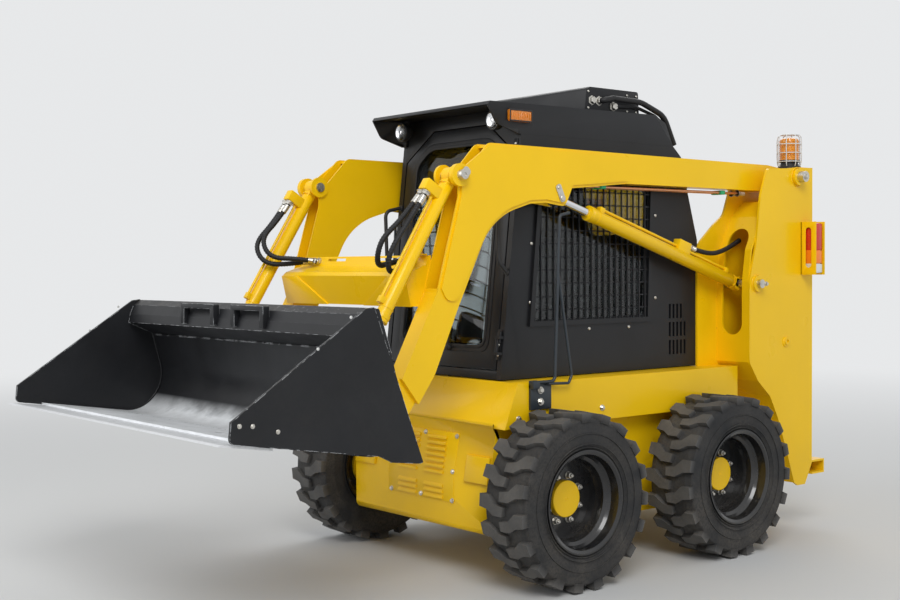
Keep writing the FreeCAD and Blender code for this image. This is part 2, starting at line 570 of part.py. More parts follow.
def make_coupler():
    """Quick-attach frame behind the bucket: a plate along the back wall and four ears for the pins."""
    qx, qz = COUPLER_PIVOT
    px, pz = TILT_ROD_PIN
    plate = plate_xz([back_wall_point(0, SEAT_GAP), back_wall_point(258, SEAT_GAP),
                      back_wall_point(258, SEAT_GAP + COUPLER_PLATE), back_wall_point(0, SEAT_GAP + COUPLER_PLATE)],
                     -620, 620)
    window = plate_xz([(1000, 850), (1000, 1060), (1300, 1060), (1300, 850)], -400, 400)
    ear = [(qx - 52, qz + 30, 50), (qx - 52, qz - 52, 50), (qx + 60, qz - 52, 40), back_wall_point(5, 12), back_wall_point(255, 12),
           (px + 10, pz + 50, 40), (px - 48, pz + 30, 40)]
    gap = FOOT_WIDTH / 2 + SIDE_GAP
    notch = box(1000, 1300, ARM_CENTRE_Y - gap, ARM_CENTRE_Y + gap, 880, 1100)
    ears = []
    for y0 in (ARM_CENTRE_Y - gap - EAR_PLATE, ARM_CENTRE_Y + gap):
        ears.append(plate_xz(ear, y0, y0 + EAR_PLATE))
        ears.append(round_y(TILT_ROD_PIN, 34, y0 - (8 if y0 < ARM_CENTRE_Y else 0),
                            y0 + EAR_PLATE + (0 if y0 < ARM_CENTRE_Y else 8)))
    pin = round_y(COUPLER_PIVOT, PIN_RADIUS, ARM_CENTRE_Y - gap - EAR_PLATE - 6, ARM_CENTRE_Y + gap + EAR_PLATE + 8)
    plate = plate.cut(window.fuse([notch, mirrored(notch)]))
    shapes = [plate] + ears + [mirrored(ear_plate) for ear_plate in ears] + [pin, mirrored(pin)]
    return fused(shapes)


# Hinges: each part is made about an upright pin at the origin, with the fixed side at +Y

def hinge_knuckle(tab_x0, tab_x1):
    """Moving half: a tube round the pin with a tab that runs to -Y."""
    half = KNUCKLE_LENGTH / 2
    tube = Part.makeCylinder(KNUCKLE_RADIUS, KNUCKLE_LENGTH, V(0, 0, -half))
    tab = box(tab_x0, tab_x1, -HINGE_TAB, -HINGE_PIN_RADIUS / 2 - 2, -half, half)
    bore = Part.makeCylinder(HINGE_PIN_RADIUS + RUNNING_FIT, KNUCKLE_LENGTH + 2, V(0, 0, -half - 1))
    return tube.fuse(tab).cut(bore)


def hinge_bracket(x0, x1, reach):
    """Fixed half: the pin between two lugs that run to +Y."""
    half = KNUCKLE_LENGTH / 2 + SEAT_GAP
    pin = Part.makeCylinder(HINGE_PIN_RADIUS, 2 * half + 2 * HINGE_LUG, V(0, 0, -half - HINGE_LUG))
    lugs = [box(x0, x1, -HINGE_PIN_RADIUS - 2, reach, z, z + HINGE_LUG) for z in (-half - HINGE_LUG, half)]
    return fused([pin] + lugs)


def place(shape, x, y, z):
    placed = shape.copy()
    placed.translate(V(x, y, z))
    return placed


def lean(shape, z):
    """Tilts a door hinge part to the cab's leaning front plane and moves it to height z."""
    placed = shape.copy()
    angle = math.degrees(math.atan2(CAB_FRONT_TOP_X - CAB_FRONT_LOW_X, CAB_ROOF_Z - CAB_BOTTOM_Z))
    placed.rotate(V(0, 0, 0), V(0, 1, 0), angle)
    return place(placed, cab_front_x(z) + HINGE_OFFSET, CAB_HINGE_Y, z)


# Cab

def cab_front_x(z):
    """X of the cab's leaning front plane at height z."""
    share = (z - CAB_BOTTOM_Z) / (CAB_ROOF_Z - CAB_BOTTOM_Z)
    return CAB_FRONT_LOW_X + (CAB_FRONT_TOP_X - CAB_FRONT_LOW_X) * share


WINDOW = [(10, 1147), (-50, 1758, 20), (-762, 1771, 40), (-740, 1153, 20)]


def make_cab_side():
    side = [(CAB_FRONT_LOW_X, CAB_BOTTOM_Z), (CAB_FRONT_TOP_X, CAB_ROOF_Z), (-950, CAB_ROOF_Z),
            (-1009, 1937), (-1056, 1773), (CAB_REAR_X, 1522), (CAB_REAR_X, CAB_BOTTOM_Z)]
    panel = plate_xz(side, CAB_HALF - CAB_WALL, CAB_HALF)
    opening = plate_xz(WINDOW, CAB_HALF - CAB_WALL - 5, CAB_HALF + 5)
    panel = panel.cut(opening)
    slots = []
    # Vent slots: (row centre z, slots in the row)
    for z, count in ((985, 5), (1075, 5), (1165, 4)):
        for i in range(count):
            x = -924 - i * 28
            slots.append(box(x - 7, x + 7, CAB_HALF - CAB_WALL - 5, CAB_HALF + 5, z - 36, z + 36))
    return panel.cut(slots[0].fuse(slots[1:]))


def add_door_hinges(panel):
    """Welds the front door's hinge brackets to the left side panel."""
    bracket = hinge_bracket(-HINGE_OFFSET - 10, HINGE_PIN_RADIUS + 2, CAB_HALF - CAB_HINGE_Y - 2)
    return fused([panel] + [lean(bracket, z) for z in CAB_HINGE_Z])


def make_side_glass():
    y1 = CAB_HALF - CAB_WALL / 2
    return plate_xz([(9.7, 1147.3), (-50, 1757.7, 20), (-761.7, 1770.7, 40), (-739.7, 1153.3, 20)], y1 - GLASS, y1)


REAR_WINDOW = [(-300, 1560, 40), (300, 1560, 40), (270, 1900, 40), (-270, 1900, 40)]


def make_rear_glass():
    line = [(CAB_REAR_X + 12, 1480), (CAB_REAR_X + 12, 1522), (-1044, 1773), (-997, 1937), (-940, CAB_ROOF_Z)]
    sheet = plate_xz(offset_line(line, -GLASS), -310, 310)
    pane = plate_yz([(-299.7, 1560.3, 40), (299.7, 1560.3, 40), (269.7, 1899.7, 40), (-269.7, 1899.7, 40)],
                    -1200, -900)
    return sheet.common(pane)


def make_window_guard():
    """Welded grid over the side window: upright bars outside, level bars inside, in one frame."""
    y0 = CAB_HALF + SEAT_GAP
    y1 = y0 + 2 * GUARD_BAR + SEAT_GAP
    outer = [(42, 1120), (-22, 1790), (-795, 1802), (-772, 1120)]
    inner = [(16, 1143), (-44, 1768), (-770, 1779), (-748, 1143)]
    frame = plate_xz(outer, y0, y1).cut(plate_xz(inner, y0 - 1, y1 + 1))
    region = plate_xz([(25, 1132), (-34, 1778), (-782, 1790), (-760, 1132)], y0, y1)
    bars = []
    count_x = int(815 / GUARD_CELL_X)
    for i in range(count_x):
        x = -752 + (i + 0.6) * GUARD_CELL_X
        bars.append(box(x - 3, x + 3, y1 - GUARD_BAR, y1, 1100, 1820).common(region))
    count_z = int(660 / GUARD_CELL_Z)
    for i in range(count_z):
        z = 1143 + (i + 0.8) * GUARD_CELL_Z
        bars.append(box(-800, 60, y0, y0 + GUARD_BAR, z - 3, z + 3).common(region))
    return frame.fuse([piece for piece in bars if piece.Solids])


def make_cab_roof():
    """Roof box, visor plate and the visor's two cheeks."""
    z0 = CAB_ROOF_Z + SEAT_GAP
    main = plate_xz([(-815, CAB_TOP_Z + 12), (120, CAB_TOP_Z + 2), (91, z0), (-950, z0), (-895, 2098, 40)],
                    -CAB_HALF, CAB_HALF)
    hollow = plate_xz([(-820, CAB_TOP_Z), (105, CAB_TOP_Z - 10), (80, z0 + 12), (-925, z0 + 12), (-880, 2085)],
                      -CAB_HALF + CAB_WALL, CAB_HALF - CAB_WALL)
    visor = plate_xz([(110, CAB_TOP_Z + 2), (VISOR_FRONT_X - 12, CAB_TOP_Z), (VISOR_FRONT_X, CAB_TOP_Z - 16),
                      (VISOR_FRONT_X - 14, CAB_TOP_Z - 18), (110, CAB_TOP_Z - 14)], -CAB_HALF, CAB_HALF)
    cheek = plate_xz([(100, CAB_TOP_Z), (VISOR_FRONT_X - 12, CAB_TOP_Z - 2), (VISOR_FRONT_X - 2, CAB_TOP_Z - 18),
                      (228, 2025, 40), (95, z0)], CAB_HALF - 8, CAB_HALF)
    return fused([main.cut(hollow), visor, cheek, mirrored(cheek)])


def make_cab_rear():
    """Rear wall between the side panels, with its window opening."""
    y = CAB_HALF - CAB_WALL - SEAT_GAP
    line = [(CAB_REAR_X, CAB_BOTTOM_Z), (CAB_REAR_X, 1522), (-1056, 1773), (-1009, 1937), (-952, CAB_ROOF_Z)]
    wall = plate_xz(offset_line(line, -CAB_WALL), -y, y)
    return wall.cut(plate_yz(REAR_WINDOW, -1200, -900))


def make_front_frame():
    """Sill under the door and header over it."""
    y = CAB_HALF - CAB_WALL - SEAT_GAP
    sill = plate_xz([(CAB_FRONT_LOW_X, CAB_BOTTOM_Z), (cab_front_x(926), 926), (cab_front_x(926) - 40, 926),
                     (CAB_FRONT_LOW_X - 45, CAB_BOTTOM_Z)], -y, y)
    header = plate_xz([(cab_front_x(1918), 1918), (CAB_FRONT_TOP_X, CAB_ROOF_Z), (CAB_FRONT_TOP_X - 40, CAB_ROOF_Z),
                       (cab_front_x(1918) - 40, 1918)], -y, y)
    return [sill, header]


def make_door():
    """Front door frame in the leaning front plane, with its glass opening."""
    low = cab_front_x(DOOR_BOTTOM_Z)
    top = cab_front_x(DOOR_TOP_Z)
    slab = plate_xz([(low, DOOR_BOTTOM_Z), (top, DOOR_TOP_Z), (top - DOOR_THICKNESS, DOOR_TOP_Z),
                     (low - DOOR_THICKNESS, DOOR_BOTTOM_Z)], -DOOR_HALF, DOOR_HALF)
    opening = plate_yz([(-310, 1041, 60), (310, 1041, 60), (310, 1700, 60), (235, 1850, 40), (-235, 1850, 40),
                        (-310, 1700, 60)], 0, 300)
    knuckle = hinge_knuckle(-HINGE_OFFSET - 4, -HINGE_OFFSET / 2)
    return fused([slab.cut(opening)] + [lean(knuckle, z) for z in CAB_HINGE_Z])


def make_door_glass():
    middle = DOOR_THICKNESS / 2
    low = cab_front_x(1041) - middle
    top = cab_front_x(1850) - middle
    slab = plate_xz([(low, 1041), (top, 1850), (top - GLASS, 1850), (low - GLASS, 1041)], -310, 310)
    window = plate_yz([(-309.7, 1041.3, 60), (309.7, 1041.3, 60), (309.7, 1700, 60), (234.7, 1849.7, 40),
                       (-234.7, 1849.7, 40), (-309.7, 1700, 60)], 0, 300)
    return slab.common(window)


def make_aircon():
    return plate_xz([(-420, CAB_TOP_Z + 12), (-440, 2236, 20), (-520, 2252, 20), (-770, 2252, 20),
                     (-780, CAB_TOP_Z + 12)], -350, 350)


def make_seat_base():
    return box(-640, -200, -230, 230, FENDER_TOP_Z, SEAT_BASE_TOP_Z)


def make_seat_cushion():
    low = SEAT_BASE_TOP_Z + SEAT_GAP
    return plate_xz([(-640, low), (-150, low), (-140, SEAT_TOP_Z + 10, 25), (-640, SEAT_TOP_Z)], -240, 240)


def make_seat_back():
    low = SEAT_TOP_Z + SEAT_GAP
    return plate_xz([(-638, low), (-545, low + 2), (-610, 1560, 40), (-720, 1560, 40)], -230, 230)


# Rear end

def make_engine():
    return box(-1730, -1300, -260, 260, REAR_BELLY_Z + PLATE, 900)


def make_hood():
    """Engine cover between the towers: top plate and its rear lip."""
    y = TOWER_INNER_Y - SIDE_GAP
    line = [(HOOD_FRONT_X, HOOD_TOP_Z), (-1700, HOOD_TOP_Z - 20), (-1838, HOOD_TOP_Z - 36)]
    cover = plate_xz(offset_line(line, 20), -y, y)
    tube = round_y(HOOD_HINGE, KNUCKLE_RADIUS, HOOD_KNUCKLE_INNER_Y, y)
    bore = round_y(HOOD_HINGE, HINGE_PIN_RADIUS + RUNNING_FIT, HOOD_KNUCKLE_INNER_Y - 1, y + 1)
    return fused([cover, tube, mirrored(tube)]).cut(bore.fuse(mirrored(bore)))


def make_rear_door():
    """Rear door with a cut-out for the grille."""
    slab = box(DOOR_REAR_X, DOOR_REAR_X + REAR_DOOR_THICKNESS, -REAR_DOOR_HALF, REAR_DOOR_HALF,
               REAR_DOOR_BOTTOM_Z, REAR_DOOR_TOP_Z)
    opening = box(DOOR_REAR_X - 5, DOOR_REAR_X + REAR_DOOR_THICKNESS + 5, -GRILLE_HALF, GRILLE_HALF,
                  GRILLE_BOTTOM_Z, GRILLE_TOP_Z)
    knuckle = hinge_knuckle(HINGE_OFFSET / 2, HINGE_OFFSET + 4)
    knuckles = [place(knuckle, DOOR_REAR_X - HINGE_OFFSET, REAR_HINGE_Y, z) for z in REAR_HINGE_Z]
    return fused([slab.cut(opening)] + knuckles)


def make_rear_grille():
    half = GRILLE_HALF - SEAT_GAP
    low = GRILLE_BOTTOM_Z + SEAT_GAP
    top = GRILLE_TOP_Z - SEAT_GAP
    shapes = []
    for i in range(int((top - low - 40) / GRILLE_PITCH) + 1):
        z = low + 12 + i * GRILLE_PITCH
        shapes.append(plate_xz([(DOOR_REAR_X + 6, z), (DOOR_REAR_X + 30, z + 22), (DOOR_REAR_X + 30, z + 26),
                                (DOOR_REAR_X + 6, z + 4)], -half, half))
    for i in range(5):
        y = -half + i * (2 * half - 10) / 4
        shapes.append(box(DOOR_REAR_X + 12, DOOR_REAR_X + 28, y, y + 10, low, top))
    return fused(shapes)


def make_bumper():
    half = TOWER_OUTER_Y
    web = box(BUMPER_REAR_X, BUMPER_REAR_X + PLATE, -half, half, 283, 357)
    low = box(BUMPER_REAR_X, TOWER_REAR_X - SEAT_GAP, -half, half, 283, 293)
    high = box(BUMPER_REAR_X, TOWER_REAR_X - SEAT_GAP, -half, half, 347, 357)
    return fused([web, low, high])


def main():
    os.makedirs("parts", exist_ok=True)
    tyre = make_tyre()
    rim = make_rim()
    hub = make_hub()
    # Wheels: (name, axle x, side)
    for name, x, side in (("front_left", FRONT_AXLE_X, 1), ("front_right", FRONT_AXLE_X, -1),
                          ("rear_left", REAR_AXLE_X, 1), ("rear_right", REAR_AXLE_X, -1)):
        export("tyre_" + name, wheel_place(tyre, x, side))
        export("rim_" + name, wheel_place(rim, x, side))
        export("hub_" + name, wheel_place(hub, x, side))
    export("chassis", make_chassis())
    lift_barrel, lift_rod = make_lift_cylinder()
    tilt_barrel, tilt_rod = make_tilt_cylinder()
    # Pieces made on the left and mirrored to the right
    for name, shape in (("lift_arm", make_arm()), ("lift_barrel", lift_barrel), ("lift_rod", lift_rod),
                        ("tilt_barrel", tilt_barrel), ("tilt_rod", tilt_rod)):
        export(name + "_left", shape)
        export(name + "_right", mirrored(shape))
    tower = fused([make_tower(), hood_pin()])
    export("tower_left", fused([tower] + rear_door_brackets()))
    export("tower_right", mirrored(tower))
    side = make_cab_side()
    export("cab_side_left", add_door_hinges(side))
    export("cab_side_right", mirrored(side))
    export("tower_pins", make_tower_pins())
    export("tilt_pins", make_tilt_pins())
    pane = make_side_glass()
    export("cab_glass", [pane, mirrored(pane), make_rear_glass()])
    guard = make_window_guard()
    export("window_guards", [guard, mirrored(guard)])
    export("cross_member", make_cross_member())
    export("bucket", make_bucket())
    export("cutting_edge", make_cutting_edge())
    export("coupler", make_coupler())
    export("cab_roof", make_cab_roof())
    export("cab_rear", make_cab_rear())
    export("cab_front_frame", make_front_frame())
    export("cab_door", make_door())
    export("door_glass", make_door_glass())
    export("aircon", make_aircon())
    export("seat_base", make_seat_base())
    export("seat_cushion", make_seat_cushion())
    export("seat_back", make_seat_back())
    export("engine_block", make_engine())
    export("hood", make_hood())
    export("rear_door", make_rear_door())
    export("rear_grille", make_rear_grille())
    export("rear_bumper", make_bumper())


main()
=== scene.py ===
import json
import math

import bmesh
import bpy
from mathutils import Matrix, Vector


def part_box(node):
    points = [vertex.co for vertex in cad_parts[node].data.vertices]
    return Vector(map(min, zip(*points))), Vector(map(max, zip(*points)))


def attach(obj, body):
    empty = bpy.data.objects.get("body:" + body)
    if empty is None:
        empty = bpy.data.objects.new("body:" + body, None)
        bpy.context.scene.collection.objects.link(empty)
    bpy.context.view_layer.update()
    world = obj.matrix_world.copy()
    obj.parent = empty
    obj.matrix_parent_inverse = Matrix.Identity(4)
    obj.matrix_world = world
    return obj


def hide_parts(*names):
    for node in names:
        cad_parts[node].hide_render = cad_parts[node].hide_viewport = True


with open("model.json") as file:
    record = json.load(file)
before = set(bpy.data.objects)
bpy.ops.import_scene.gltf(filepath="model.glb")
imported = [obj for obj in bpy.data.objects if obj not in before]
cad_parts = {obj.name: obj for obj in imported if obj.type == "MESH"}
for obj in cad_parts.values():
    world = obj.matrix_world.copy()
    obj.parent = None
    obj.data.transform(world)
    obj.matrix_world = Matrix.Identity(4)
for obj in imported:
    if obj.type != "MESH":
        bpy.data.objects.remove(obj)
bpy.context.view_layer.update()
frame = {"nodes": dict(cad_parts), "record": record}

bl_info = {
    "name": "Skid Steer Loader",
    "version": (1, 0, 0),
    "blender": (4, 5, 0),
    "location": "View3D > Sidebar > Loader",
    "description": "Dresses the packed skid steer loader with fittings, hoses, lamps, glass and finishes",
    "category": "Object",
}

SIDES = (("left", 1), ("right", -1))
AXLES = (("front", 0.100), ("rear", -0.940))

# Lift arm, cylinder and coupler pins in side view (x, z)
LIFT_PIVOT = (-1.670, 1.851)
LIFT_BASE_PIN = (-1.335, 1.299)
LIFT_ROD_PIN = (-0.045, 1.700)
TILT_TOP_PIN = (0.565, 1.775)
TILT_ROD_PIN = (1.043, 1.013)
ARM_CENTRE_Y = 0.5195
WHEEL_CENTRE_Z = 0.385

# The cab's front face leans back by this much of its height
CAB_LEAN = 0.131 / 1.101
CAB_NORMAL = Vector((1.0, 0.0, CAB_LEAN)).normalized()
CAB_SLOPE = Vector((-CAB_LEAN, 0.0, 1.0)).normalized()


# Settings

class FinishSettings(bpy.types.PropertyGroup):
    """Colours and wear of the machine's finishes."""

    body_paint: bpy.props.FloatVectorProperty(
        name="Body Paint", description="Colour of the hull, towers and lift arms",
        subtype="COLOR", size=3, min=0.0, max=1.0, default=(0.960, 0.590, 0.003))
    cab_paint: bpy.props.FloatVectorProperty(
        name="Cab Paint", description="Colour of the cab, bucket and coupler",
        subtype="COLOR", size=3, min=0.0, max=1.0, default=(0.0085, 0.0090, 0.0105))
    tyre_rubber: bpy.props.FloatVectorProperty(
        name="Tyre Rubber", description="Colour of the tyres",
        subtype="COLOR", size=3, min=0.0, max=1.0, default=(0.022, 0.023, 0.025))
    dust: bpy.props.FloatVectorProperty(
        name="Dust", description="Colour of the dust that lies on low and level faces",
        subtype="COLOR", size=3, min=0.0, max=1.0, default=(0.29, 0.25, 0.20))
    wear: bpy.props.FloatProperty(
        name="Edge Wear", description="How far paint is rubbed at its edges",
        subtype="FACTOR", min=0.0, max=1.0, default=0.25)


class WheelSettings(bpy.types.PropertyGroup):
    """Sizes of the wheel fittings."""

    nut_circle: bpy.props.FloatProperty(
        name="Nut Circle", description="Radius of the circle that the wheel nuts stand on",
        unit="LENGTH", default=0.103, min=0.05, max=0.2)
    nut_width: bpy.props.FloatProperty(
        name="Nut Width", description="Wheel nut across its flats",
        unit="LENGTH", default=0.024, min=0.01, max=0.05)
    nut_count: bpy.props.IntProperty(
        name="Nuts", description="Wheel nuts on each wheel", default=8, min=4, max=12)


# Modelling aids

def deselect_all():
    if bpy.context.mode != "OBJECT":
        bpy.ops.object.mode_set(mode="OBJECT")
    bpy.ops.object.select_all(action="DESELECT")


def select_only(piece):
    deselect_all()
    piece.select_set(True)
    bpy.context.view_layer.objects.active = piece


def select_faces(piece, wanted):
    """Object mode: selects the faces whose centre and normal satisfy the test, and returns how many."""
    bpy.ops.object.mode_set(mode="EDIT")
    bpy.ops.mesh.select_mode(type="FACE")
    bpy.ops.mesh.select_all(action="DESELECT")
    bpy.ops.object.mode_set(mode="OBJECT")
    count = 0
    for face in piece.data.polygons:
        if wanted(face.center, face.normal):
            face.select = True
            count += 1
    bpy.ops.object.mode_set(mode="EDIT")
    return count


def select_edges(piece, wanted):
    """Object mode: selects the edges whose two ends satisfy the test."""
    bpy.ops.object.mode_set(mode="EDIT")
    bpy.ops.mesh.select_mode(type="EDGE")
    bpy.ops.mesh.select_all(action="DESELECT")
    bpy.ops.object.mode_set(mode="OBJECT")
    vertices = piece.data.vertices
    for edge in piece.data.edges:
        if wanted(vertices[edge.vertices[0]].co, vertices[edge.vertices[1]].co):
            edge.select = True
    bpy.ops.object.mode_set(mode="EDIT")


def edit_all():
    """Goes into edit mode with all of the piece selected."""
    bpy.ops.object.mode_set(mode="EDIT")
    bpy.ops.mesh.select_all(action="SELECT")


def close_edit():
    """Turns every face outwards and goes back to object mode."""
    bpy.ops.mesh.select_all(action="SELECT")
    bpy.ops.mesh.normals_make_consistent(inside=False)
    bpy.ops.object.mode_set(mode="OBJECT")


def apply_place():
    """Puts the selected piece's place, turn and scale into its mesh."""
    bpy.ops.object.transform_apply(location=True, rotation=True, scale=True)


def apply_modifiers(piece):
    select_only(piece)
    for modifier in list(piece.modifiers):
        bpy.ops.object.modifier_apply(modifier=modifier.name)


def bevelled(piece, width, segments=2, angle=35.0):
    bevel = piece.modifiers.new("Bevel", "BEVEL")
    bevel.width = width
    bevel.segments = segments
    bevel.limit_method = "ANGLE"
    bevel.angle_limit = math.radians(angle)
    bevel.harden_normals = False
    apply_modifiers(piece)
    return piece


# The record's slot for each finish that has none of its own; coloured lenses go without
NEAREST_SLOTS = {
    "hose_rubber": "tyre_rubber",
    "black_plastic": "black_paint",
    "green_plastic": "black_paint",
    "white_wire": "black_paint",
    "stay_paint": "black_paint",
    "bucket_paint": "black_paint",
    "copper": "zinc",
    "brass": "zinc",
    "reflector": "zinc",
    "lamp_glass": "glass",
    "amber_lens": None,
    "beacon_lens": None,
    "tail_lens": None,
}
MATERIALS = {}


def set_down(piece, name, body, finish, angle=35.0, slot=None):
    """Smooths a piece, names it, and hands it to its body with one of the finishes."""
    select_only(piece)
    bpy.ops.object.shade_smooth_by_angle(angle=math.radians(angle))
    apply_place()
    piece.name = name
    piece.data.name = name
    piece.data.materials.clear()
    piece.data.materials.append(MATERIALS[finish])
    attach(piece, body)
    slot = slot or NEAREST_SLOTS.get(finish, finish)


def facing(point, normal, turn=0.0):
    """Matrix that stands a piece made along +Z on a point, with +Z along the normal."""
    turned = Vector(normal).to_track_quat("Z", "Y").to_matrix().to_4x4()
    return Matrix.Translation(Vector(point)) @ turned @ Matrix.Rotation(turn, 4, "Z")


def joined(pieces):
    deselect_all()
    for piece in pieces:
        piece.select_set(True)
    bpy.context.view_layer.objects.active = pieces[0]
    bpy.ops.object.join()
    return bpy.context.view_layer.objects.active


def joined_copies(master, places):
    """Copies the master to each place, each copy with its own mesh, and joins them."""
    copies = []
    for place in places:
        copy = master.copy()
        copy.data = master.data.copy()
        bpy.context.scene.collection.objects.link(copy)
        copy.matrix_world = place
        copies.append(copy)
    bpy.data.objects.remove(master)
    result = joined(copies)
    apply_place()
    return result


def stood(piece, point, normal):
    """Stands a piece made along +Z on a point, with +Z along the normal."""
    return joined_copies(piece, [facing(point, normal)])


# Stage

class LOADER_OT_stage(bpy.types.Operator):
    """Adds the floor, the lamps, the world and the camera"""

    bl_idname = "loader.stage"
    bl_label = "Stage"

    def execute(self, context):
        scene = context.scene
        deselect_all()
        bpy.ops.mesh.primitive_plane_add(size=90.0, location=(0, 0, 0))
        floor = context.active_object
        floor.name = "studio_floor"
        floor.data.materials.append(floor_material())

        lamps = (
            ("key_lamp", (5.5, 7.5, 8.5), (0.0, 0.0, 0.9), 6.0, 700.0),
            ("fill_lamp", (8.0, -3.5, 5.0), (0.3, 0.0, 0.9), 7.0, 210.0),
            ("back_lamp", (-7.5, -5.0, 7.5), (-0.5, 0.0, 1.0), 7.0, 260.0),
        )
        for name, place, target, size, power in lamps:
            bpy.ops.object.light_add(type="AREA", location=place)
            lamp = context.active_object
            lamp.name = name
            lamp.data.shape = "DISK"
            lamp.data.size = size
            lamp.data.energy = power
            lamp.rotation_euler = (Vector(target) - Vector(place)).to_track_quat("-Z", "Y").to_euler()

        world = bpy.data.worlds.new("studio_world")
        scene.world = world
        world.use_nodes = True
        background_nodes(world.node_tree)

        place = Vector((4.0726, 4.7528, 1.3903))
        ahead = Vector((-0.6369, -0.7705, -0.0251)).normalized()
        level = ahead.to_track_quat("-Z", "Y").to_matrix().to_4x4()
        bpy.ops.object.camera_add(location=place)
        camera = context.active_object
        camera.name = "photo_camera"
        camera.matrix_world = Matrix.Translation(place) @ level @ Matrix.Rotation(CAMERA_ROLL, 4, "Z")
        camera.data.lens = 52.23
        camera.data.sensor_width = 36.0
        camera.data.clip_end = 200.0
        scene.camera = camera
        scene.view_settings.view_transform = "Standard"
        return {"FINISHED"}


CAMERA_ROLL = -0.005
BACKDROP = (0.80, 0.81, 0.82, 1.0)


def fill(node, inputs):
    """Sets a node's inputs to numbers and colours, or links them from other nodes' sockets."""
    for label, value in inputs.items():
        if hasattr(value, "is_output"):
            node.id_data.links.new(value, node.inputs[label])
        else:
            node.inputs[label].default_value = value
    return node


def new_node(tree, kind, inputs, **settings):
    """Shader node of this kind, with its settings made and its inputs filled."""
    node = tree.nodes.new("ShaderNode" + kind)
    for label, value in settings.items():
        setattr(node, label, value)
    return fill(node, inputs)


def background_nodes(tree):
    """A pale sky that camera, mirrors and glass see at its own colour, and that lights at a plain level."""
    tree.nodes.clear()
    lit = new_node(tree, "Background", {"Color": (0.93, 0.96, 1.0, 1.0), "Strength": 0.55})
    seen = new_node(tree, "Background", {"Color": BACKDROP, "Strength": 1.0})
    path = new_node(tree, "LightPath", {}).outputs
    either = math_node(tree, "MAXIMUM", path["Is Camera Ray"], path["Is Transmission Ray"])
    seen_by = math_node(tree, "MAXIMUM", either, path["Is Glossy Ray"])
    blend = new_node(tree, "MixShader", {"Fac": seen_by, 1: lit.outputs["Background"],
                                         2: seen.outputs["Background"]})
    new_node(tree, "OutputWorld", {"Surface": blend.outputs["Shader"]})


def floor_material():
    """Matt pale floor that goes over into the backdrop's colour away from the machine."""
    material, tree, shader = fresh_material("studio_floor")
    fill(shader, {"Base Color": (0.62, 0.62, 0.61, 1.0), "Roughness": 0.9, "Specular IOR Level": 0.2})
    reach = new_node(tree, "VectorMath", {0: object_place(tree)}, operation="LENGTH")
    fade = new_node(tree, "MapRange", {"Value": reach.outputs["Value"], "From Min": 3.2, "From Max": 13.0},
                    interpolation_type="SMOOTHSTEP")
    far = new_node(tree, "Emission", {"Color": BACKDROP})
    blend = new_node(tree, "MixShader", {"Fac": fade.outputs["Result"], 1: shader.outputs["BSDF"],
                                         2: far.outputs["Emission"]})
    fill(tree.nodes["Material Output"], {"Surface": blend.outputs["Shader"]})
    return material


# Shared shader groups and finishes

def new_group(name, inputs, outputs):
    """Empty shader node group, its entry's sockets and its end; inputs are (name, kind, default)."""
    group = bpy.data.node_groups.new(name, "ShaderNodeTree")
    for label, kind, default in inputs:
        socket = group.interface.new_socket(name=label, in_out="INPUT", socket_type="NodeSocket" + kind)
        socket.default_value = default
    for label, kind in outputs:
        group.interface.new_socket(name=label, in_out="OUTPUT", socket_type="NodeSocket" + kind)
    entry = group.nodes.new("NodeGroupInput")
    leave = group.nodes.new("NodeGroupOutput")
    return group, entry.outputs, leave


def math_node(tree, operation, first, second=None, clamp=False):
    """Result of a Math node whose inputs are sockets or numbers."""
    inputs = {0: first} if second is None else {0: first, 1: second}
    return new_node(tree, "Math", inputs, operation=operation, use_clamp=clamp).outputs["Value"]


def times(tree, first, second, clamp=False):
    return math_node(tree, "MULTIPLY", first, second, clamp)


def plus(tree, first, second, clamp=False):
    return math_node(tree, "ADD", first, second, clamp)


def minus(tree, first, second, clamp=False):
    return math_node(tree, "SUBTRACT", first, second, clamp)


def object_place(tree):
    """The piece's own coordinates."""
    return tree.nodes.new("ShaderNodeTexCoord").outputs["Object"]


def split(tree, vector):
    """X, Y and Z of a vector."""
    return new_node(tree, "SeparateXYZ", {"Vector": vector}).outputs


def face_normal(tree):
    return new_node(tree, "NewGeometry", {}).outputs["Normal"]


def ramp(tree, value, low, high):
    """0 below low, 1 above high, straight between."""
    return new_node(tree, "MapRange", {"Value": value, "From Min": low, "From Max": high}).outputs["Result"]


def noise(tree, vector, scale, detail=3.0, rough=0.55):
    inputs = {"Vector": vector, "Scale": scale, "Detail": detail, "Roughness": rough}
    return new_node(tree, "TexNoise", inputs).outputs["Fac"]


def bumped(tree, height, strength, distance):
    """Normal of a face with this relief."""
    inputs = {"Height": height, "Strength": strength, "Distance": distance}
    return new_node(tree, "Bump", inputs).outputs["Normal"]


def ribbed(tree, place, scale, strength):
    """Normal of a lens with level ribs."""
    wave = new_node(tree, "TexWave", {"Vector": place, "Scale": scale}, bands_direction="Z")
    return bumped(tree, wave.outputs["Fac"], strength, 0.001)


def mixed(tree, factor, first, second):
    """Colour mix; first and second are sockets or colours."""
    inputs = {"Factor": factor}
    for index, value in ((6, first), (7, second)):
        inputs[index] = value if hasattr(value, "is_output") else (value[0], value[1], value[2], 1.0)
    return new_node(tree, "Mix", inputs, data_type="RGBA").outputs[2]


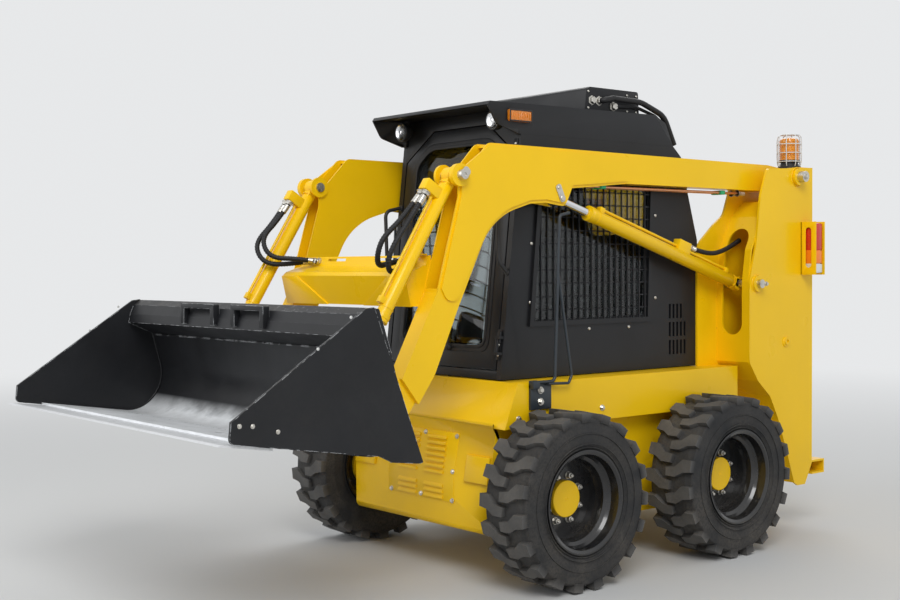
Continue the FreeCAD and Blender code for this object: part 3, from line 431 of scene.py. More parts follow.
def edge_wear_group():
    """Mask of the sharp edges, broken up by noise."""
    group, given, leave = new_group(
        "Edge Wear",
        [("Width", "Float", 0.004), ("Amount", "Float", 0.3), ("Scale", "Float", 30.0)],
        [("Mask", "Float")])
    bevel = new_node(group, "Bevel", {"Radius": given["Width"]}, samples=4)
    dot = new_node(group, "VectorMath", {0: bevel.outputs["Normal"], 1: face_normal(group)},
                   operation="DOT_PRODUCT")
    edge = ramp(group, minus(group, 1.0, dot.outputs["Value"]), 0.01, 0.12)
    grain = noise(group, object_place(group), given["Scale"], 4.0, 0.5)
    limit = minus(group, 0.78, times(group, given["Amount"], 0.4))
    broken = math_node(group, "GREATER_THAN", grain, limit)
    fill(leave, {"Mask": times(group, edge, broken)})
    return group


def dust_group():
    """Mask of dust: on level faces and low down, in soft patches."""
    group, given, leave = new_group(
        "Dust",
        [("Low", "Float", 0.5), ("Level", "Float", 0.3), ("Height", "Float", 0.9)],
        [("Mask", "Float")])
    place = object_place(group)
    patches = ramp(group, noise(group, place, 5.0, 5.0, 0.6), 0.35, 0.75)
    specks = ramp(group, noise(group, place, 90.0, 2.0, 0.6), 0.35, 0.7)
    share = math_node(group, "DIVIDE", split(group, place)["Z"], given["Height"], True)
    low = times(group, minus(group, 1.0, share), given["Low"])
    level = times(group, ramp(group, split(group, face_normal(group))["Z"], 0.6, 1.0), given["Level"])
    texture = times(group, patches, plus(group, specks, 0.35, True))
    fill(leave, {"Mask": times(group, plus(group, low, level, True), texture)})
    return group


def surface_group():
    """Fine relief of a sprayed, cast or moulded face, as a normal and a roughness swing."""
    group, given, leave = new_group(
        "Fine Relief",
        [("Scale", "Float", 400.0), ("Strength", "Float", 0.1), ("Depth", "Float", 0.0005),
         ("Wave Scale", "Float", 9.0), ("Wave", "Float", 0.2)],
        [("Normal", "Vector"), ("Swing", "Float")])
    place = object_place(group)
    fine = noise(group, place, given["Scale"], 2.0, 0.5)
    broad = noise(group, place, given["Wave Scale"], 3.0, 0.5)
    height = plus(group, fine, times(group, broad, given["Wave"]))
    fill(leave, {"Normal": bumped(group, height, given["Strength"], given["Depth"]),
                 "Swing": minus(group, broad, 0.5)})
    return group


def scratch_group():
    """Mask of long fine scratches in one direction."""
    group, given, leave = new_group(
        "Scratches",
        [("Stretch", "Vector", (4.0, 120.0, 120.0)), ("Amount", "Float", 0.4)],
        [("Mask", "Float")])
    scaled = new_node(group, "VectorMath", {0: object_place(group), 1: given["Stretch"]},
                      operation="MULTIPLY")
    lines = noise(group, scaled.outputs["Vector"], 1.0, 4.0, 0.7)
    limit = minus(group, 0.75, times(group, given["Amount"], 0.35))
    fill(leave, {"Mask": times(group, minus(group, lines, limit), 8.0, True)})
    return group


GROUPS = {}


def place_group(tree, name, values):
    """Places a shared group in a material with its own values, and gives its outputs."""
    return new_node(tree, "Group", values, node_tree=GROUPS[name]).outputs


def fine_relief(tree, scale, strength, depth, wave_scale, wave):
    return place_group(tree, "Fine Relief", {"Scale": scale, "Strength": strength, "Depth": depth,
                                             "Wave Scale": wave_scale, "Wave": wave})


def worn_edges(tree, width, amount, scale):
    return place_group(tree, "Edge Wear", {"Width": width, "Amount": amount, "Scale": scale})["Mask"]


def dusted(tree, colour, low, level, height):
    """The colour under its dust, and the dust's mask."""
    dirt = place_group(tree, "Dust", {"Low": low, "Level": level, "Height": height})["Mask"]
    return mixed(tree, dirt, colour, bpy.context.scene.loader_finish.dust), dirt


def scaled_colour(colour, factor, added=0.0):
    return [c * factor + added for c in colour]


def fresh_material(name):
    material = bpy.data.materials.new(name)
    material.use_nodes = True
    return material, material.node_tree, material.node_tree.nodes["Principled BSDF"]


def painted(name, colour, rough, coat, wear, low_dust, level_dust, shade=0.06, sheen=0.5):
    """Sprayed paint: orange peel, rubbed edges, faint shade changes and dust."""
    material, tree, shader = fresh_material(name)
    relief = fine_relief(tree, 260.0, 0.10, 0.0006, 7.0, 0.25)
    cloud = ramp(tree, noise(tree, object_place(tree), 2.3, 4.0), 0.3, 0.7)
    base = mixed(tree, cloud, colour, scaled_colour(colour, 1.0 - shade))
    worn = mixed(tree, worn_edges(tree, 0.0025, wear, 38.0), base, scaled_colour(colour, 0.45, 0.03))
    dusty, dirt = dusted(tree, worn, low_dust, level_dust, 0.85)
    swing = times(tree, relief["Swing"], 0.25)
    fill(shader, {"Base Color": dusty,
                  "Roughness": plus(tree, plus(tree, swing, rough), times(tree, dirt, 0.5), True),
                  "Normal": relief["Normal"], "Coat Weight": coat, "Coat Roughness": 0.08,
                  "Specular IOR Level": sheen})
    return material


def metal(name, colour, rough, relief_scale, relief_strength, stain=0.25, stain_colour=(0.20, 0.17, 0.14),
          metallic=1.0):
    """Bare or plated metal with fine grain and stains."""
    material, tree, shader = fresh_material(name)
    relief = fine_relief(tree, relief_scale, relief_strength, 0.0004, 25.0, 0.6)
    spots = ramp(tree, noise(tree, object_place(tree), 60.0, 4.0, 0.65), 0.5, 0.8)
    marks = times(tree, spots, stain)
    swing = times(tree, relief["Swing"], 0.35)
    fill(shader, {"Base Color": mixed(tree, marks, colour, stain_colour),
                  "Roughness": plus(tree, plus(tree, swing, rough), times(tree, marks, 0.4), True),
                  "Normal": relief["Normal"], "Metallic": metallic})
    return material


def crown_mask(tree, place):
    """Mask of the tread's outermost faces, by their distance from the nearer axle."""
    spot = split(tree, place)
    front, rear = AXLES[0][1], AXLES[1][1]
    from_middle = math_node(tree, "ABSOLUTE", minus(tree, spot["X"], (front + rear) / 2))
    along = minus(tree, from_middle, (front - rear) / 2)
    above = minus(tree, spot["Z"], WHEEL_CENTRE_Z)
    squares = plus(tree, times(tree, along, along), times(tree, above, above))
    return ramp(tree, math_node(tree, "SQRT", squares), 0.350, 0.382)


def rubber_material(name, colour, rough, low_dust, relief_scale=180.0, strength=0.35, tread=None):
    """Moulded rubber: matt, finely grained and dusty; tread is the colour of the lugs' worn crowns, which
    also holds a painted highlight on the lug tops.
    """
    material, tree, shader = fresh_material(name)
    relief = fine_relief(tree, relief_scale, strength, 0.0008, 14.0, 0.5)
    place = object_place(tree)
    cloud = ramp(tree, noise(tree, place, 11.0, 4.0), 0.3, 0.7)
    base = mixed(tree, cloud, colour, scaled_colour(colour, 0.72))
    if tread:
        # Lighter lug crowns: worn rubber, with a painted highlight on the tops against the dark gaps between
        # lugs
        crown_wear_and_highlight = times(tree, crown_mask(tree, place), plus(tree, times(tree, cloud, -0.4), 1.0))
        base = mixed(tree, crown_wear_and_highlight, base, tread)
    rubbed = mixed(tree, times(tree, worn_edges(tree, 0.004, 0.55, 45.0), 0.5), base,
                   scaled_colour(colour, 2.1, 0.01))
    swing = times(tree, relief["Swing"], 0.3)
    fill(shader, {"Base Color": dusted(tree, rubbed, low_dust, 0.15, 1.2)[0],
                  "Roughness": plus(tree, swing, rough, True), "Normal": relief["Normal"],
                  "Specular IOR Level": 0.35})
    return material


def glass_material(name, colour):
    material, tree, shader = fresh_material(name)
    relief = fine_relief(tree, 6.0, 0.02, 0.001, 2.0, 0.5)
    film = ramp(tree, noise(tree, object_place(tree), 4.0, 5.0, 0.6), 0.35, 0.8)
    fill(shader, {"Base Color": mixed(tree, film, colour, scaled_colour(colour, 0.93)),
                  "Roughness": plus(tree, times(tree, film, 0.05), 0.02), "Normal": relief["Normal"],
                  "Transmission Weight": 1.0, "IOR": 1.45})
    return material


def lens_material(name, colour):
    """Ribbed plastic lens, lit only from outside."""
    material, tree, shader = fresh_material(name)
    place = object_place(tree)
    cloud = ramp(tree, noise(tree, place, 40.0, 3.0), 0.3, 0.7)
    fill(shader, {"Base Color": mixed(tree, cloud, colour, scaled_colour(colour, 0.8)), "Roughness": 0.18,
                  "Normal": ribbed(tree, place, 60.0, 0.35), "Transmission Weight": 0.25, "Coat Weight": 0.5,
                  "Coat Roughness": 0.05})
    return material


def banded_lens(name):
    """Tail lamp lens: clear at the foot, amber above it and red over that."""
    material, tree, shader = fresh_material(name)
    place = object_place(tree)
    height = split(tree, place)["Z"]
    over_clear = math_node(tree, "GREATER_THAN", height, 1.400)
    over_amber = math_node(tree, "GREATER_THAN", height, 1.470)
    low_bands = mixed(tree, over_clear, (0.72, 0.73, 0.74), (0.95, 0.22, 0.01))
    bands = mixed(tree, over_amber, low_bands, (0.62, 0.012, 0.010))
    fill(shader, {"Base Color": bands, "Roughness": 0.16, "Normal": ribbed(tree, place, 55.0, 0.4),
                  "Coat Weight": 0.5})
    return material


def vinyl_material(name, colour):
    """Seat vinyl: small leather-like pebbles and soft creases."""
    material, tree, shader = fresh_material(name)
    place = object_place(tree)
    pebbles = new_node(tree, "TexVoronoi", {"Vector": place, "Scale": 420.0}).outputs["Distance"]
    creases = noise(tree, place, 28.0, 5.0, 0.6)
    height = plus(tree, pebbles, times(tree, creases, 1.4))
    darker = scaled_colour(colour, 0.7)
    fill(shader, {"Base Color": mixed(tree, ramp(tree, creases, 0.3, 0.7), colour, darker),
                  "Roughness": plus(tree, times(tree, creases, 0.2), 0.38),
                  "Normal": bumped(tree, height, 0.3, 0.0015)})
    return material


def bucket_material(name, colour):
    """Satin black plate that is rubbed to bare steel where soil slides over it; the bare steel's near-white
    grey is partly a painted highlight.
    """
    material, tree, shader = fresh_material(name)
    relief = fine_relief(tree, 220.0, 0.12, 0.0006, 6.0, 0.4)
    scratches = place_group(tree, "Scratches", {"Stretch": (3.0, 90.0, 90.0), "Amount": 0.45})["Mask"]
    place = object_place(tree)
    spot = split(tree, place)
    # The floor's wear grows from the throat to the cutting edge; its bare steel also carries the painted
    # highlight.
    lip = times(tree, ramp(tree, spot["X"], 1.742, 1.750),
                math_node(tree, "LESS_THAN", math_node(tree, "ABSOLUTE", spot["Y"]), 0.9265))
    floor = math_node(tree, "MAXIMUM", ramp(tree, split(tree, face_normal(tree))["Z"], 0.55, 0.9), lip)
    inside = math_node(tree, "LESS_THAN", spot["Z"], 0.86)
    patches = noise(tree, place, 3.2, 5.0, 0.62)
    amount = plus(tree, times(tree, ramp(tree, spot["X"], 1.14, 1.50), 0.75), patches)
    bare = times(tree, times(tree, floor, inside), ramp(tree, amount, 0.50, 0.72))
    steel = math_node(tree, "MAXIMUM", bare, times(tree, worn_edges(tree, 0.004, 0.7, 30.0), 0.6))
    steel = math_node(tree, "MAXIMUM", steel, times(tree, times(tree, scratches, 0.35), floor))
    rubs = ramp(tree, noise(tree, place, 14.0, 5.0), 0.3, 0.7)
    # Near-white grey of the bare steel: worn steel, lightened into a painted highlight on the up-facing
    # floor, the lip and the rubbed edges
    grey = mixed(tree, rubs, (0.92, 0.94, 0.96), (0.76, 0.78, 0.79))
    body = mixed(tree, ramp(tree, patches, 0.3, 0.7), colour, scaled_colour(colour, 1.5, 0.002))
    rough = plus(tree, times(tree, relief["Swing"], 0.3), 0.40)
    fill(shader, {"Base Color": dusted(tree, mixed(tree, steel, body, grey), 0.05, 0.22, 1.4)[0],
                  "Roughness": minus(tree, rough, times(tree, steel, 0.06), True),
                  "Metallic": times(tree, steel, 0.12), "Normal": relief["Normal"],
                  "Specular IOR Level": 0.3})
    return material


class LOADER_OT_finishes(bpy.types.Operator):
    """Builds the finishes and gives one to every part of the frame"""

    bl_idname = "loader.finishes"
    bl_label = "Finishes"

    def execute(self, context):
        settings = context.scene.loader_finish
        wear = settings.wear
        for group in (edge_wear_group(), dust_group(), surface_group(), scratch_group()):
            GROUPS[group.name] = group
        yellow = tuple(settings.body_paint)
        black = tuple(settings.cab_paint)
        MATERIALS.update({
            "yellow_paint": painted("yellow_paint", yellow, 0.32, 0.12, wear, 0.10, 0.05, sheen=0.28),
            "black_paint": painted("black_paint", black, 0.42, 0.06, wear, 0.04, 0.10, -0.4, 0.32),
            "rim_paint": painted("rim_paint", scaled_colour(black, 0.9), 0.24, 0.45, 0.3, 0.12, 0.06),
            "bucket_paint": bucket_material("bucket_paint", black),
            "tyre_rubber": rubber_material("tyre_rubber", tuple(settings.tyre_rubber), 0.72, 0.30,
                                           # Lug crown colour: worn rubber, lightened as a painted highlight
                                           # on the lug tops
                                           tread=(0.105, 0.103, 0.100)),
            "bare_steel": metal("bare_steel", (0.72, 0.73, 0.74), 0.42, 160.0, 0.3, 0.25, metallic=0.35),
            "zinc": metal("zinc", (0.62, 0.60, 0.55), 0.34, 300.0, 0.15, 0.3),
            "chrome": metal("chrome", (0.80, 0.80, 0.81), 0.10, 500.0, 0.02, 0.06),
            "copper": metal("copper", (0.72, 0.36, 0.20), 0.33, 300.0, 0.1, 0.4, (0.20, 0.10, 0.06)),
            "cast_grey": metal("cast_grey", (0.16, 0.16, 0.165), 0.6, 140.0, 0.4, 0.5, (0.05, 0.045, 0.04),
                               0.6),
            "glass": glass_material("glass", (0.50, 0.55, 0.56)),
            "seat_vinyl": vinyl_material("seat_vinyl", (0.018, 0.018, 0.019)),
            "amber_lens": lens_material("amber_lens", (0.95, 0.30, 0.015)),
            "hose_rubber": rubber_material("hose_rubber", (0.014, 0.014, 0.015), 0.52, 0.05, 700.0, 0.3),
            "black_plastic": painted("black_plastic", (0.016, 0.016, 0.017), 0.5, 0.0, 0.1, 0.06, 0.15),
            "brass": metal("brass", (0.62, 0.46, 0.22), 0.36, 300.0, 0.15, 0.5, (0.22, 0.15, 0.09)),
            "reflector": metal("reflector", (0.86, 0.86, 0.87), 0.14, 300.0, 0.03, 0.05),
            "lamp_glass": glass_material("lamp_glass", (0.95, 0.96, 0.97)),
            "beacon_lens": lens_material("beacon_lens", (0.98, 0.36, 0.01)),
            "tail_lens": banded_lens("tail_lens"),
            "stay_paint": painted("stay_paint", (0.020, 0.028, 0.036), 0.42, 0.1, 0.3, 0.10, 0.10),
            "green_plastic": painted("green_plastic", (0.02, 0.42, 0.16), 0.42, 0.0, 0.1, 0.04, 0.1),
            "white_wire": painted("white_wire", (0.70, 0.70, 0.68), 0.35, 0.3, 0.15, 0.05, 0.1),
        })
        for row in frame["record"]["subparts"]:
            node = row["node"]
            finish = row["material_slot"]
            if node == "bucket":
                finish = "bucket_paint"
            if node.startswith("rim_"):
                finish = "rim_paint"
            materials = frame["nodes"][node].data.materials
            materials.clear()
            materials.append(MATERIALS[finish])
        return {"FINISHED"}


# Wheel nuts

def hex_nut(width, height, stud):
    """Flange nut with its chamfer and the stud's end, standing on Z = 0."""
    radius = width / math.sqrt(3)
    deselect_all()
    bpy.ops.mesh.primitive_cylinder_add(vertices=6, radius=radius, depth=height, location=(0, 0, height / 2))
    nut = bpy.context.active_object
    select_edges(nut, lambda a, b: a.z > height / 2 * 0.9 and b.z > height / 2 * 0.9)
    bpy.ops.mesh.bevel(offset=height * 0.12, segments=2)
    bpy.ops.object.mode_set(mode="OBJECT")
    bpy.ops.mesh.primitive_cylinder_add(vertices=20, radius=radius * 1.22, depth=height * 0.16,
                                        location=(0, 0, height * 0.08))
    washer = bevelled(bpy.context.active_object, height * 0.03, 1)
    deselect_all()
    bpy.ops.mesh.primitive_cylinder_add(vertices=14, radius=radius * 0.52, depth=stud,
                                        location=(0, 0, height + stud / 2))
    end = bevelled(bpy.context.active_object, radius * 0.09, 1)
    nut = joined([nut, washer, end])
    apply_place()
    return nut


class LOADER_OT_wheel_nuts(bpy.types.Operator):
    """Adds the nuts that hold each wheel on its hub"""

    bl_idname = "loader.wheel_nuts"
    bl_label = "Wheel Nuts"

    def execute(self, context):
        settings = context.scene.loader_wheels
        face_y = 0.700
        for axle, x in AXLES:
            for side, sign in SIDES:
                nut = hex_nut(settings.nut_width, 0.020, 0.010)
                places = []
                for i in range(settings.nut_count):
                    angle = 2 * math.pi * (i + 0.5) / settings.nut_count
                    point = (x + settings.nut_circle * math.cos(angle), sign * face_y,
                             WHEEL_CENTRE_Z + settings.nut_circle * math.sin(angle))
                    places.append(facing(point, (0, sign, 0), 0.4 * i))
                wheel = f"{axle}_{side}"
                set_down(joined_copies(nut, places), f"wheel_nuts_{wheel}", f"wheel_{wheel}", "zinc")
        return {"FINISHED"}


# Shapes

def turned(profile, vertices=32):
    """Piece turned about +Z from (radius, height) steps, extruded and resized ring by ring."""
    deselect_all()
    bpy.ops.mesh.primitive_circle_add(vertices=vertices, radius=profile[0][0], fill_type="NGON",
                                      location=(0, 0, profile[0][1]))
    piece = bpy.context.active_object
    edit_all()
    for before, after in zip(profile, profile[1:]):
        bpy.ops.mesh.extrude_region_move(TRANSFORM_OT_translate={"value": (0, 0, after[1] - before[1])})
        grown = after[0] / before[0]
        bpy.ops.transform.resize(value=(grown, grown, 1.0), center_override=(0, 0, after[1]))
    close_edit()
    apply_place()
    return piece


def plate(points, push):
    """Flat plate: its outline drawn through the points, then extruded by the push."""
    deselect_all()
    bpy.ops.mesh.primitive_circle_add(vertices=len(points), radius=1.0, fill_type="NGON")
    piece = bpy.context.active_object
    for vertex, place in zip(piece.data.vertices, points):
        vertex.co = place
    edit_all()
    bpy.ops.mesh.extrude_region_move(TRANSFORM_OT_translate={"value": tuple(push)})
    close_edit()
    return piece


def surround(points, push, width):
    """Flat frame of even width inside the outline: both faces are inset and joined through."""
    piece = plate(points, push)
    way = Vector(push).normalized()
    select_faces(piece, lambda centre, normal: abs(normal.dot(way)) > 0.99)
    bpy.ops.mesh.inset(thickness=width, depth=0.0, use_individual=True)
    bpy.ops.mesh.bridge_edge_loops()
    close_edit()
    return piece


def block(low, high):
    """Box between two corners, to be bevelled."""
    low, high = zip(*[sorted(pair) for pair in zip(low, high)])
    deselect_all()
    bpy.ops.mesh.primitive_cube_add(size=1.0, location=[(a + b) / 2 for a, b in zip(low, high)])
    piece = bpy.context.active_object
    piece.scale = [b - a for a, b in zip(low, high)]
    apply_place()
    return piece


def spline_object(name, points, order=3, closed=False, steps=8):
    """NURBS line with these control points."""
    line = bpy.data.curves.new(name, "CURVE")
    line.dimensions = "3D"
    line.resolution_u = steps
    spline = line.splines.new("NURBS")
    spline.points.add(len(points) - 1)
    for point, place in zip(spline.points, points):
        point.co = (place[0], place[1], place[2], 1.0)
    spline.order_u = order
    spline.use_cyclic_u = closed
    spline.use_endpoint_u = not closed
    spline.resolution_u = steps
    piece = bpy.data.objects.new(name, line)
    bpy.context.scene.collection.objects.link(piece)
    return piece


def wire(points, radius, order=3, closed=False, steps=8, sides=2):
    """Round wire along control points, as a closed mesh."""
    piece = spline_object("wire", points, order, closed, steps)
    piece.data.bevel_depth = radius
    piece.data.bevel_resolution = sides
    piece.data.use_fill_caps = not closed
    select_only(piece)
    bpy.ops.object.convert(target="MESH")
    piece = bpy.context.active_object
    edit_all()
    bpy.ops.mesh.remove_doubles(threshold=0.00005)
    close_edit()
    return piece


def rounded(corners, closed=True, steps=5):
    """Outline or path through (place, radius) corners, with each radius drawn as an arc."""
    points = []
    for i, (here, radius) in enumerate(corners):
        here = Vector(here)
        if not radius or (not closed and i in (0, len(corners) - 1)):
            points.append(here)
            continue
        back = (Vector(corners[i - 1][0]) - here).normalized()
        ahead = (Vector(corners[(i + 1) % len(corners)][0]) - here).normalized()
        half = back.angle(ahead) / 2
        centre = here + (back + ahead).normalized() * radius / math.sin(half)
        begin = here + back * radius / math.tan(half) - centre
        end = here + ahead * radius / math.tan(half) - centre
        for step in range(steps + 1):
            points.append(centre + begin.lerp(end, step / steps).normalized() * radius)
    return points


def corner_list(corners):
    """(place, radius) of each corner, which is sharp where it gives no radius."""
    return [((corner[0], corner[1]), corner[2] if len(corner) > 2 else 0.0) for corner in corners]


def side_plate(corners, low, high):
    """Plate from (x, z) or (x, z, radius) corners, between two values of Y."""
    low, high = sorted((low, high))
    return plate([(p.x, low, p.y) for p in rounded(corner_list(corners))], (0, high - low, 0))


def front_plate(corners, low, high):
    """Plate from (y, z) or (y, z, radius) corners, between two values of X."""
    return plate([(low, p.x, p.y) for p in rounded(corner_list(corners))], (high - low, 0, 0))


def level_plate(corners, low, high):
    """Plate from (x, y) or (x, y, radius) corners, between two heights."""
    return plate([(p.x, p.y, low) for p in rounded(corner_list(corners))], (0, 0, high - low))


def straight_rod(start, end, radius, vertices=20):
    """Round rod between two points, with its ends chamfered."""
    start, end = Vector(start), Vector(end)
    length = (end - start).length
    lip = min(radius * 0.15, length * 0.2)
    profile = [(radius - lip, 0.0), (radius, lip), (radius, length - lip), (radius - lip, length)]
    rod = turned(profile, vertices)
    return stood(rod, start, end - start)


def bent_rod(points, radii, radius, sides=3):
    """Round rod of straight runs with a bend of the given radius at each inner point."""
    corners = [(points[0], 0.0)] + list(zip(points[1:-1], radii)) + [(points[-1], 0.0)]
    return wire(rounded(corners, closed=False, steps=8), radius, order=2, steps=1, sides=sides)


def cut_out(piece, cutter):
    """Takes the cutter's shape out of the piece."""
    knife = piece.modifiers.new("Cut", "BOOLEAN")
    knife.operation = "DIFFERENCE"
    knife.solver = "EXACT"
    knife.object = cutter
    apply_modifiers(piece)
    bpy.data.objects.remove(cutter)
    return piece


def node_copy(node):
    """Copy of a CAD node's mesh with its corners merged, for a piece that changes its shape."""
    source = frame["nodes"][node]
    piece = source.copy()
    piece.data = source.data.copy()
    bpy.context.scene.collection.objects.link(piece)
    for key in list(piece.keys()):
        del piece[key]
    piece.hide_render = False
    piece.hide_viewport = False
    piece.data.materials.clear()
    select_only(piece)
    edit_all()
    bpy.ops.mesh.remove_doubles(threshold=0.0001)
    bpy.ops.object.mode_set(mode="OBJECT")
    return piece


def hoop(centre, radius, thick, axis="z", count=24, steps=3):
    """Ring of round wire about the Z or the Y axis."""
    x, y, z = centre
    points = []
    for i in range(count):
        u = radius * math.cos(2 * math.pi * i / count)
        v = radius * math.sin(2 * math.pi * i / count)
        points.append((x + u, y + v, z) if axis == "z" else (x + u, y, z + v))
    return wire(points, thick, order=4, closed=True, steps=steps, sides=1)


def moved(piece, place):
    """Carries the piece's mesh to the place and leaves the object at the origin."""
    piece.matrix_world = place
    select_only(piece)
    apply_place()
    return piece


def cylinder_frame(base, tip, y):
    """Matrix that lays a piece made along +X on a cylinder's centre line, with +Z over it."""
    reach = Vector((tip[0] - base[0], 0.0, tip[1] - base[1])).normalized()
    over = Vector((-reach.z, 0.0, reach.x))
    turn = Matrix((reach, (0, 1, 0), over)).transposed().to_4x4()
    return Matrix.Translation((base[0], y, base[1])) @ turn


def on_barrel(base, tip, along, height, y):
    """Point beside a cylinder: so far along it from its base pin, and so high above its axis."""
    return cylinder_frame(base, tip, y) @ Vector((along, 0.0, height))


def cab_front(y, z, out=0.0):
    """Point on the cab's leaning front face at this height, moved outwards."""
    return Vector((0.211 - (z - 0.886) * CAB_LEAN, y, z)) + CAB_NORMAL * out


# Hull, cab and lamp bodies

FRONT_BEND_Z = 0.437
FRONT_LEAN = 0.165


def front_x(z):
    """X of the hull's front: upright below the bend and leaning back above it."""
    return 0.338 - max(0.0, z - FRONT_BEND_Z) * FRONT_LEAN


class LOADER_OT_hull(bpy.types.Operator):
    """Leans the hull's front back above its bend and adds the louvred cover and the two bosses"""

    bl_idname = "loader.hull"
    bl_label = "Hull Front"

    def execute(self, context):
        hull = node_copy("chassis")
        edit_all()
        bpy.ops.mesh.bisect(plane_co=(0, 0, FRONT_BEND_Z), plane_no=(0, 0, 1))
        bpy.ops.object.mode_set(mode="OBJECT")
        for vertex in hull.data.vertices:
            if vertex.co.x > 0.322 and FRONT_BEND_Z < vertex.co.z < 0.70:
                vertex.co.x = vertex.co.x - 0.338 + front_x(vertex.co.z)
        set_down(hull, "hull", "frame", "yellow_paint", 30.0)
        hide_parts("chassis")

        heights = (0.330, FRONT_BEND_Z, 0.642)
        sheet = [(front_x(z) + 0.0025, z) for z in heights] + [(front_x(z) - 0.001, z) for z in heights[::-1]]
        cover = bevelled(side_plate(sheet, -0.228, 0.256), 0.0008)
        set_down(cover, "front_cover", "frame", "yellow_paint")
        slats = []
        for y, low, count in ((0.112, 0.452, 7), (-0.082, 0.452, 7), (0.113, 0.340, 3), (-0.081, 0.340, 3)):
            for i in range(count):
                z = low + i * 0.026
                face = front_x(z) + 0.0025
                section = [(front_x(z + 0.016) + 0.0025, z + 0.016), (face + 0.006, z + 0.008),
                           (face + 0.008, z + 0.003), (face + 0.008, z), (face + 0.006, z),
                           (face - 0.002, z + 0.003), (face - 0.003, z + 0.016)]
                slats.append(side_plate(section, y - 0.068, y + 0.068))
        set_down(joined(slats), "cover_louvres", "frame", "yellow_paint", 50.0)
        bosses = []
        low, high = 0.441, 0.556
        sheet = [(front_x(low) + 0.012, low), (front_x(high) + 0.012, high), (front_x(high) - 0.001, high),
                 (front_x(low) - 0.001, low)]
        for sign in (1, -1):
            bosses.append(bevelled(side_plate(sheet, sign * 0.336, sign * 0.492), 0.002))
        set_down(joined(bosses), "front_bosses", "frame", "yellow_paint")
        return {"FINISHED"}


DOOR_HALF = 0.392
DOOR_FOOT = 0.930
DOOR_HEAD = 2.046


def door_outline(grown):
    """Door's outline (y, z): square at the foot, with cut corners at the head."""
    half, low, high = DOOR_HALF + grown, DOOR_FOOT - grown, DOOR_HEAD + grown
    return [(-half, low), (half, low), (half, high - 0.141, 0.030), (half - 0.192, high, 0.030),
            (-half + 0.192, high, 0.030), (-half, high - 0.141, 0.030)]


def glass_outline(grown):
    half, low, high = 0.306 + grown, 1.028 - grown, 1.964 + grown
    return [(-half, low, 0.060), (half, low, 0.060), (half, high - 0.079, 0.040), (half - 0.100, high, 0.040),
            (-half + 0.100, high, 0.040), (-half, high - 0.079, 0.040)]


def on_front(outline, out, push):
    """Plate on the cab's leaning front plane."""
    return plate([cab_front(p.x, p.y, out) for p in rounded(corner_list(outline), steps=7)], push)


class LOADER_OT_cab_front(bpy.types.Operator):
    """Builds the cab's front: roof with its open face, header, sill, and the tall door with its glass"""

    bl_idname = "loader.cab_front"
    bl_label = "Cab Front"

    def execute(self, context):
        def x(z):
            return cab_front(0.0, z).x

        roof = node_copy("cab_roof")
        low, high = 1.9863, 2.112
        gap = side_plate([(x(low) - 0.0403, low), (0.200, low), (0.200, high), (x(high) - 0.0403, high)],
                         -0.400, 0.400)
        set_down(cut_out(roof, gap), "roof", "frame", "black_paint")
        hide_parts("cab_roof")

        low, high = 1.909, 2.1117
        header = side_plate([(x(low), low), (x(high), high), (x(high) - 0.040, high), (x(low) - 0.040, low)],
                            -0.3997, 0.3997)
        header = cut_out(header, front_plate(door_outline(0.004), 0.0, 0.300))
        sill = side_plate([(0.211, 0.886), (x(0.926), 0.926), (x(0.926) - 0.040, 0.926), (0.166, 0.886)],
                          -0.3997, 0.3997)
        front = joined([bevelled(header, 0.0015), bevelled(sill, 0.002)])
        set_down(front, "cab_header_and_sill", "frame", "black_paint")
        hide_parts("cab_front_frame")

        door = on_front(door_outline(0.0), 0.0, (-0.032, 0, 0))
        door = cut_out(door, on_front(glass_outline(0.0), 0.050, (-0.150, 0, 0)))
        door = bevelled(door, 0.0025)
        knuckles = []
        for z in (1.050, 1.850):
            barrel = turned([(0.0075, 0.0), (0.0085, 0.001), (0.0085, 0.049), (0.0075, 0.050)], 24)
            knuckles.append(stood(barrel, cab_front(0.409, z, 0.006), CAB_SLOPE))
            low, high = z + 0.004, z + 0.046
            corners = ((0.388, low), (0.409, low), (0.409, high), (0.388, high))
            tab = plate([cab_front(y, h, 0.0005) for y, h in corners], CAB_SLOPE.cross((0, 1, 0)) * -0.006)
            knuckles.append(bevelled(tab, 0.001))
        door = joined([door] + knuckles)
        set_down(door, "door", "cab_door", "black_paint")
        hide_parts("cab_door")
        pane = on_front(glass_outline(-0.0003), -0.013, (-0.006, 0, 0))
        set_down(bevelled(pane, 0.001), "door_pane", "cab_door", "glass")
        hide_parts("door_glass")
        return {"FINISHED"}


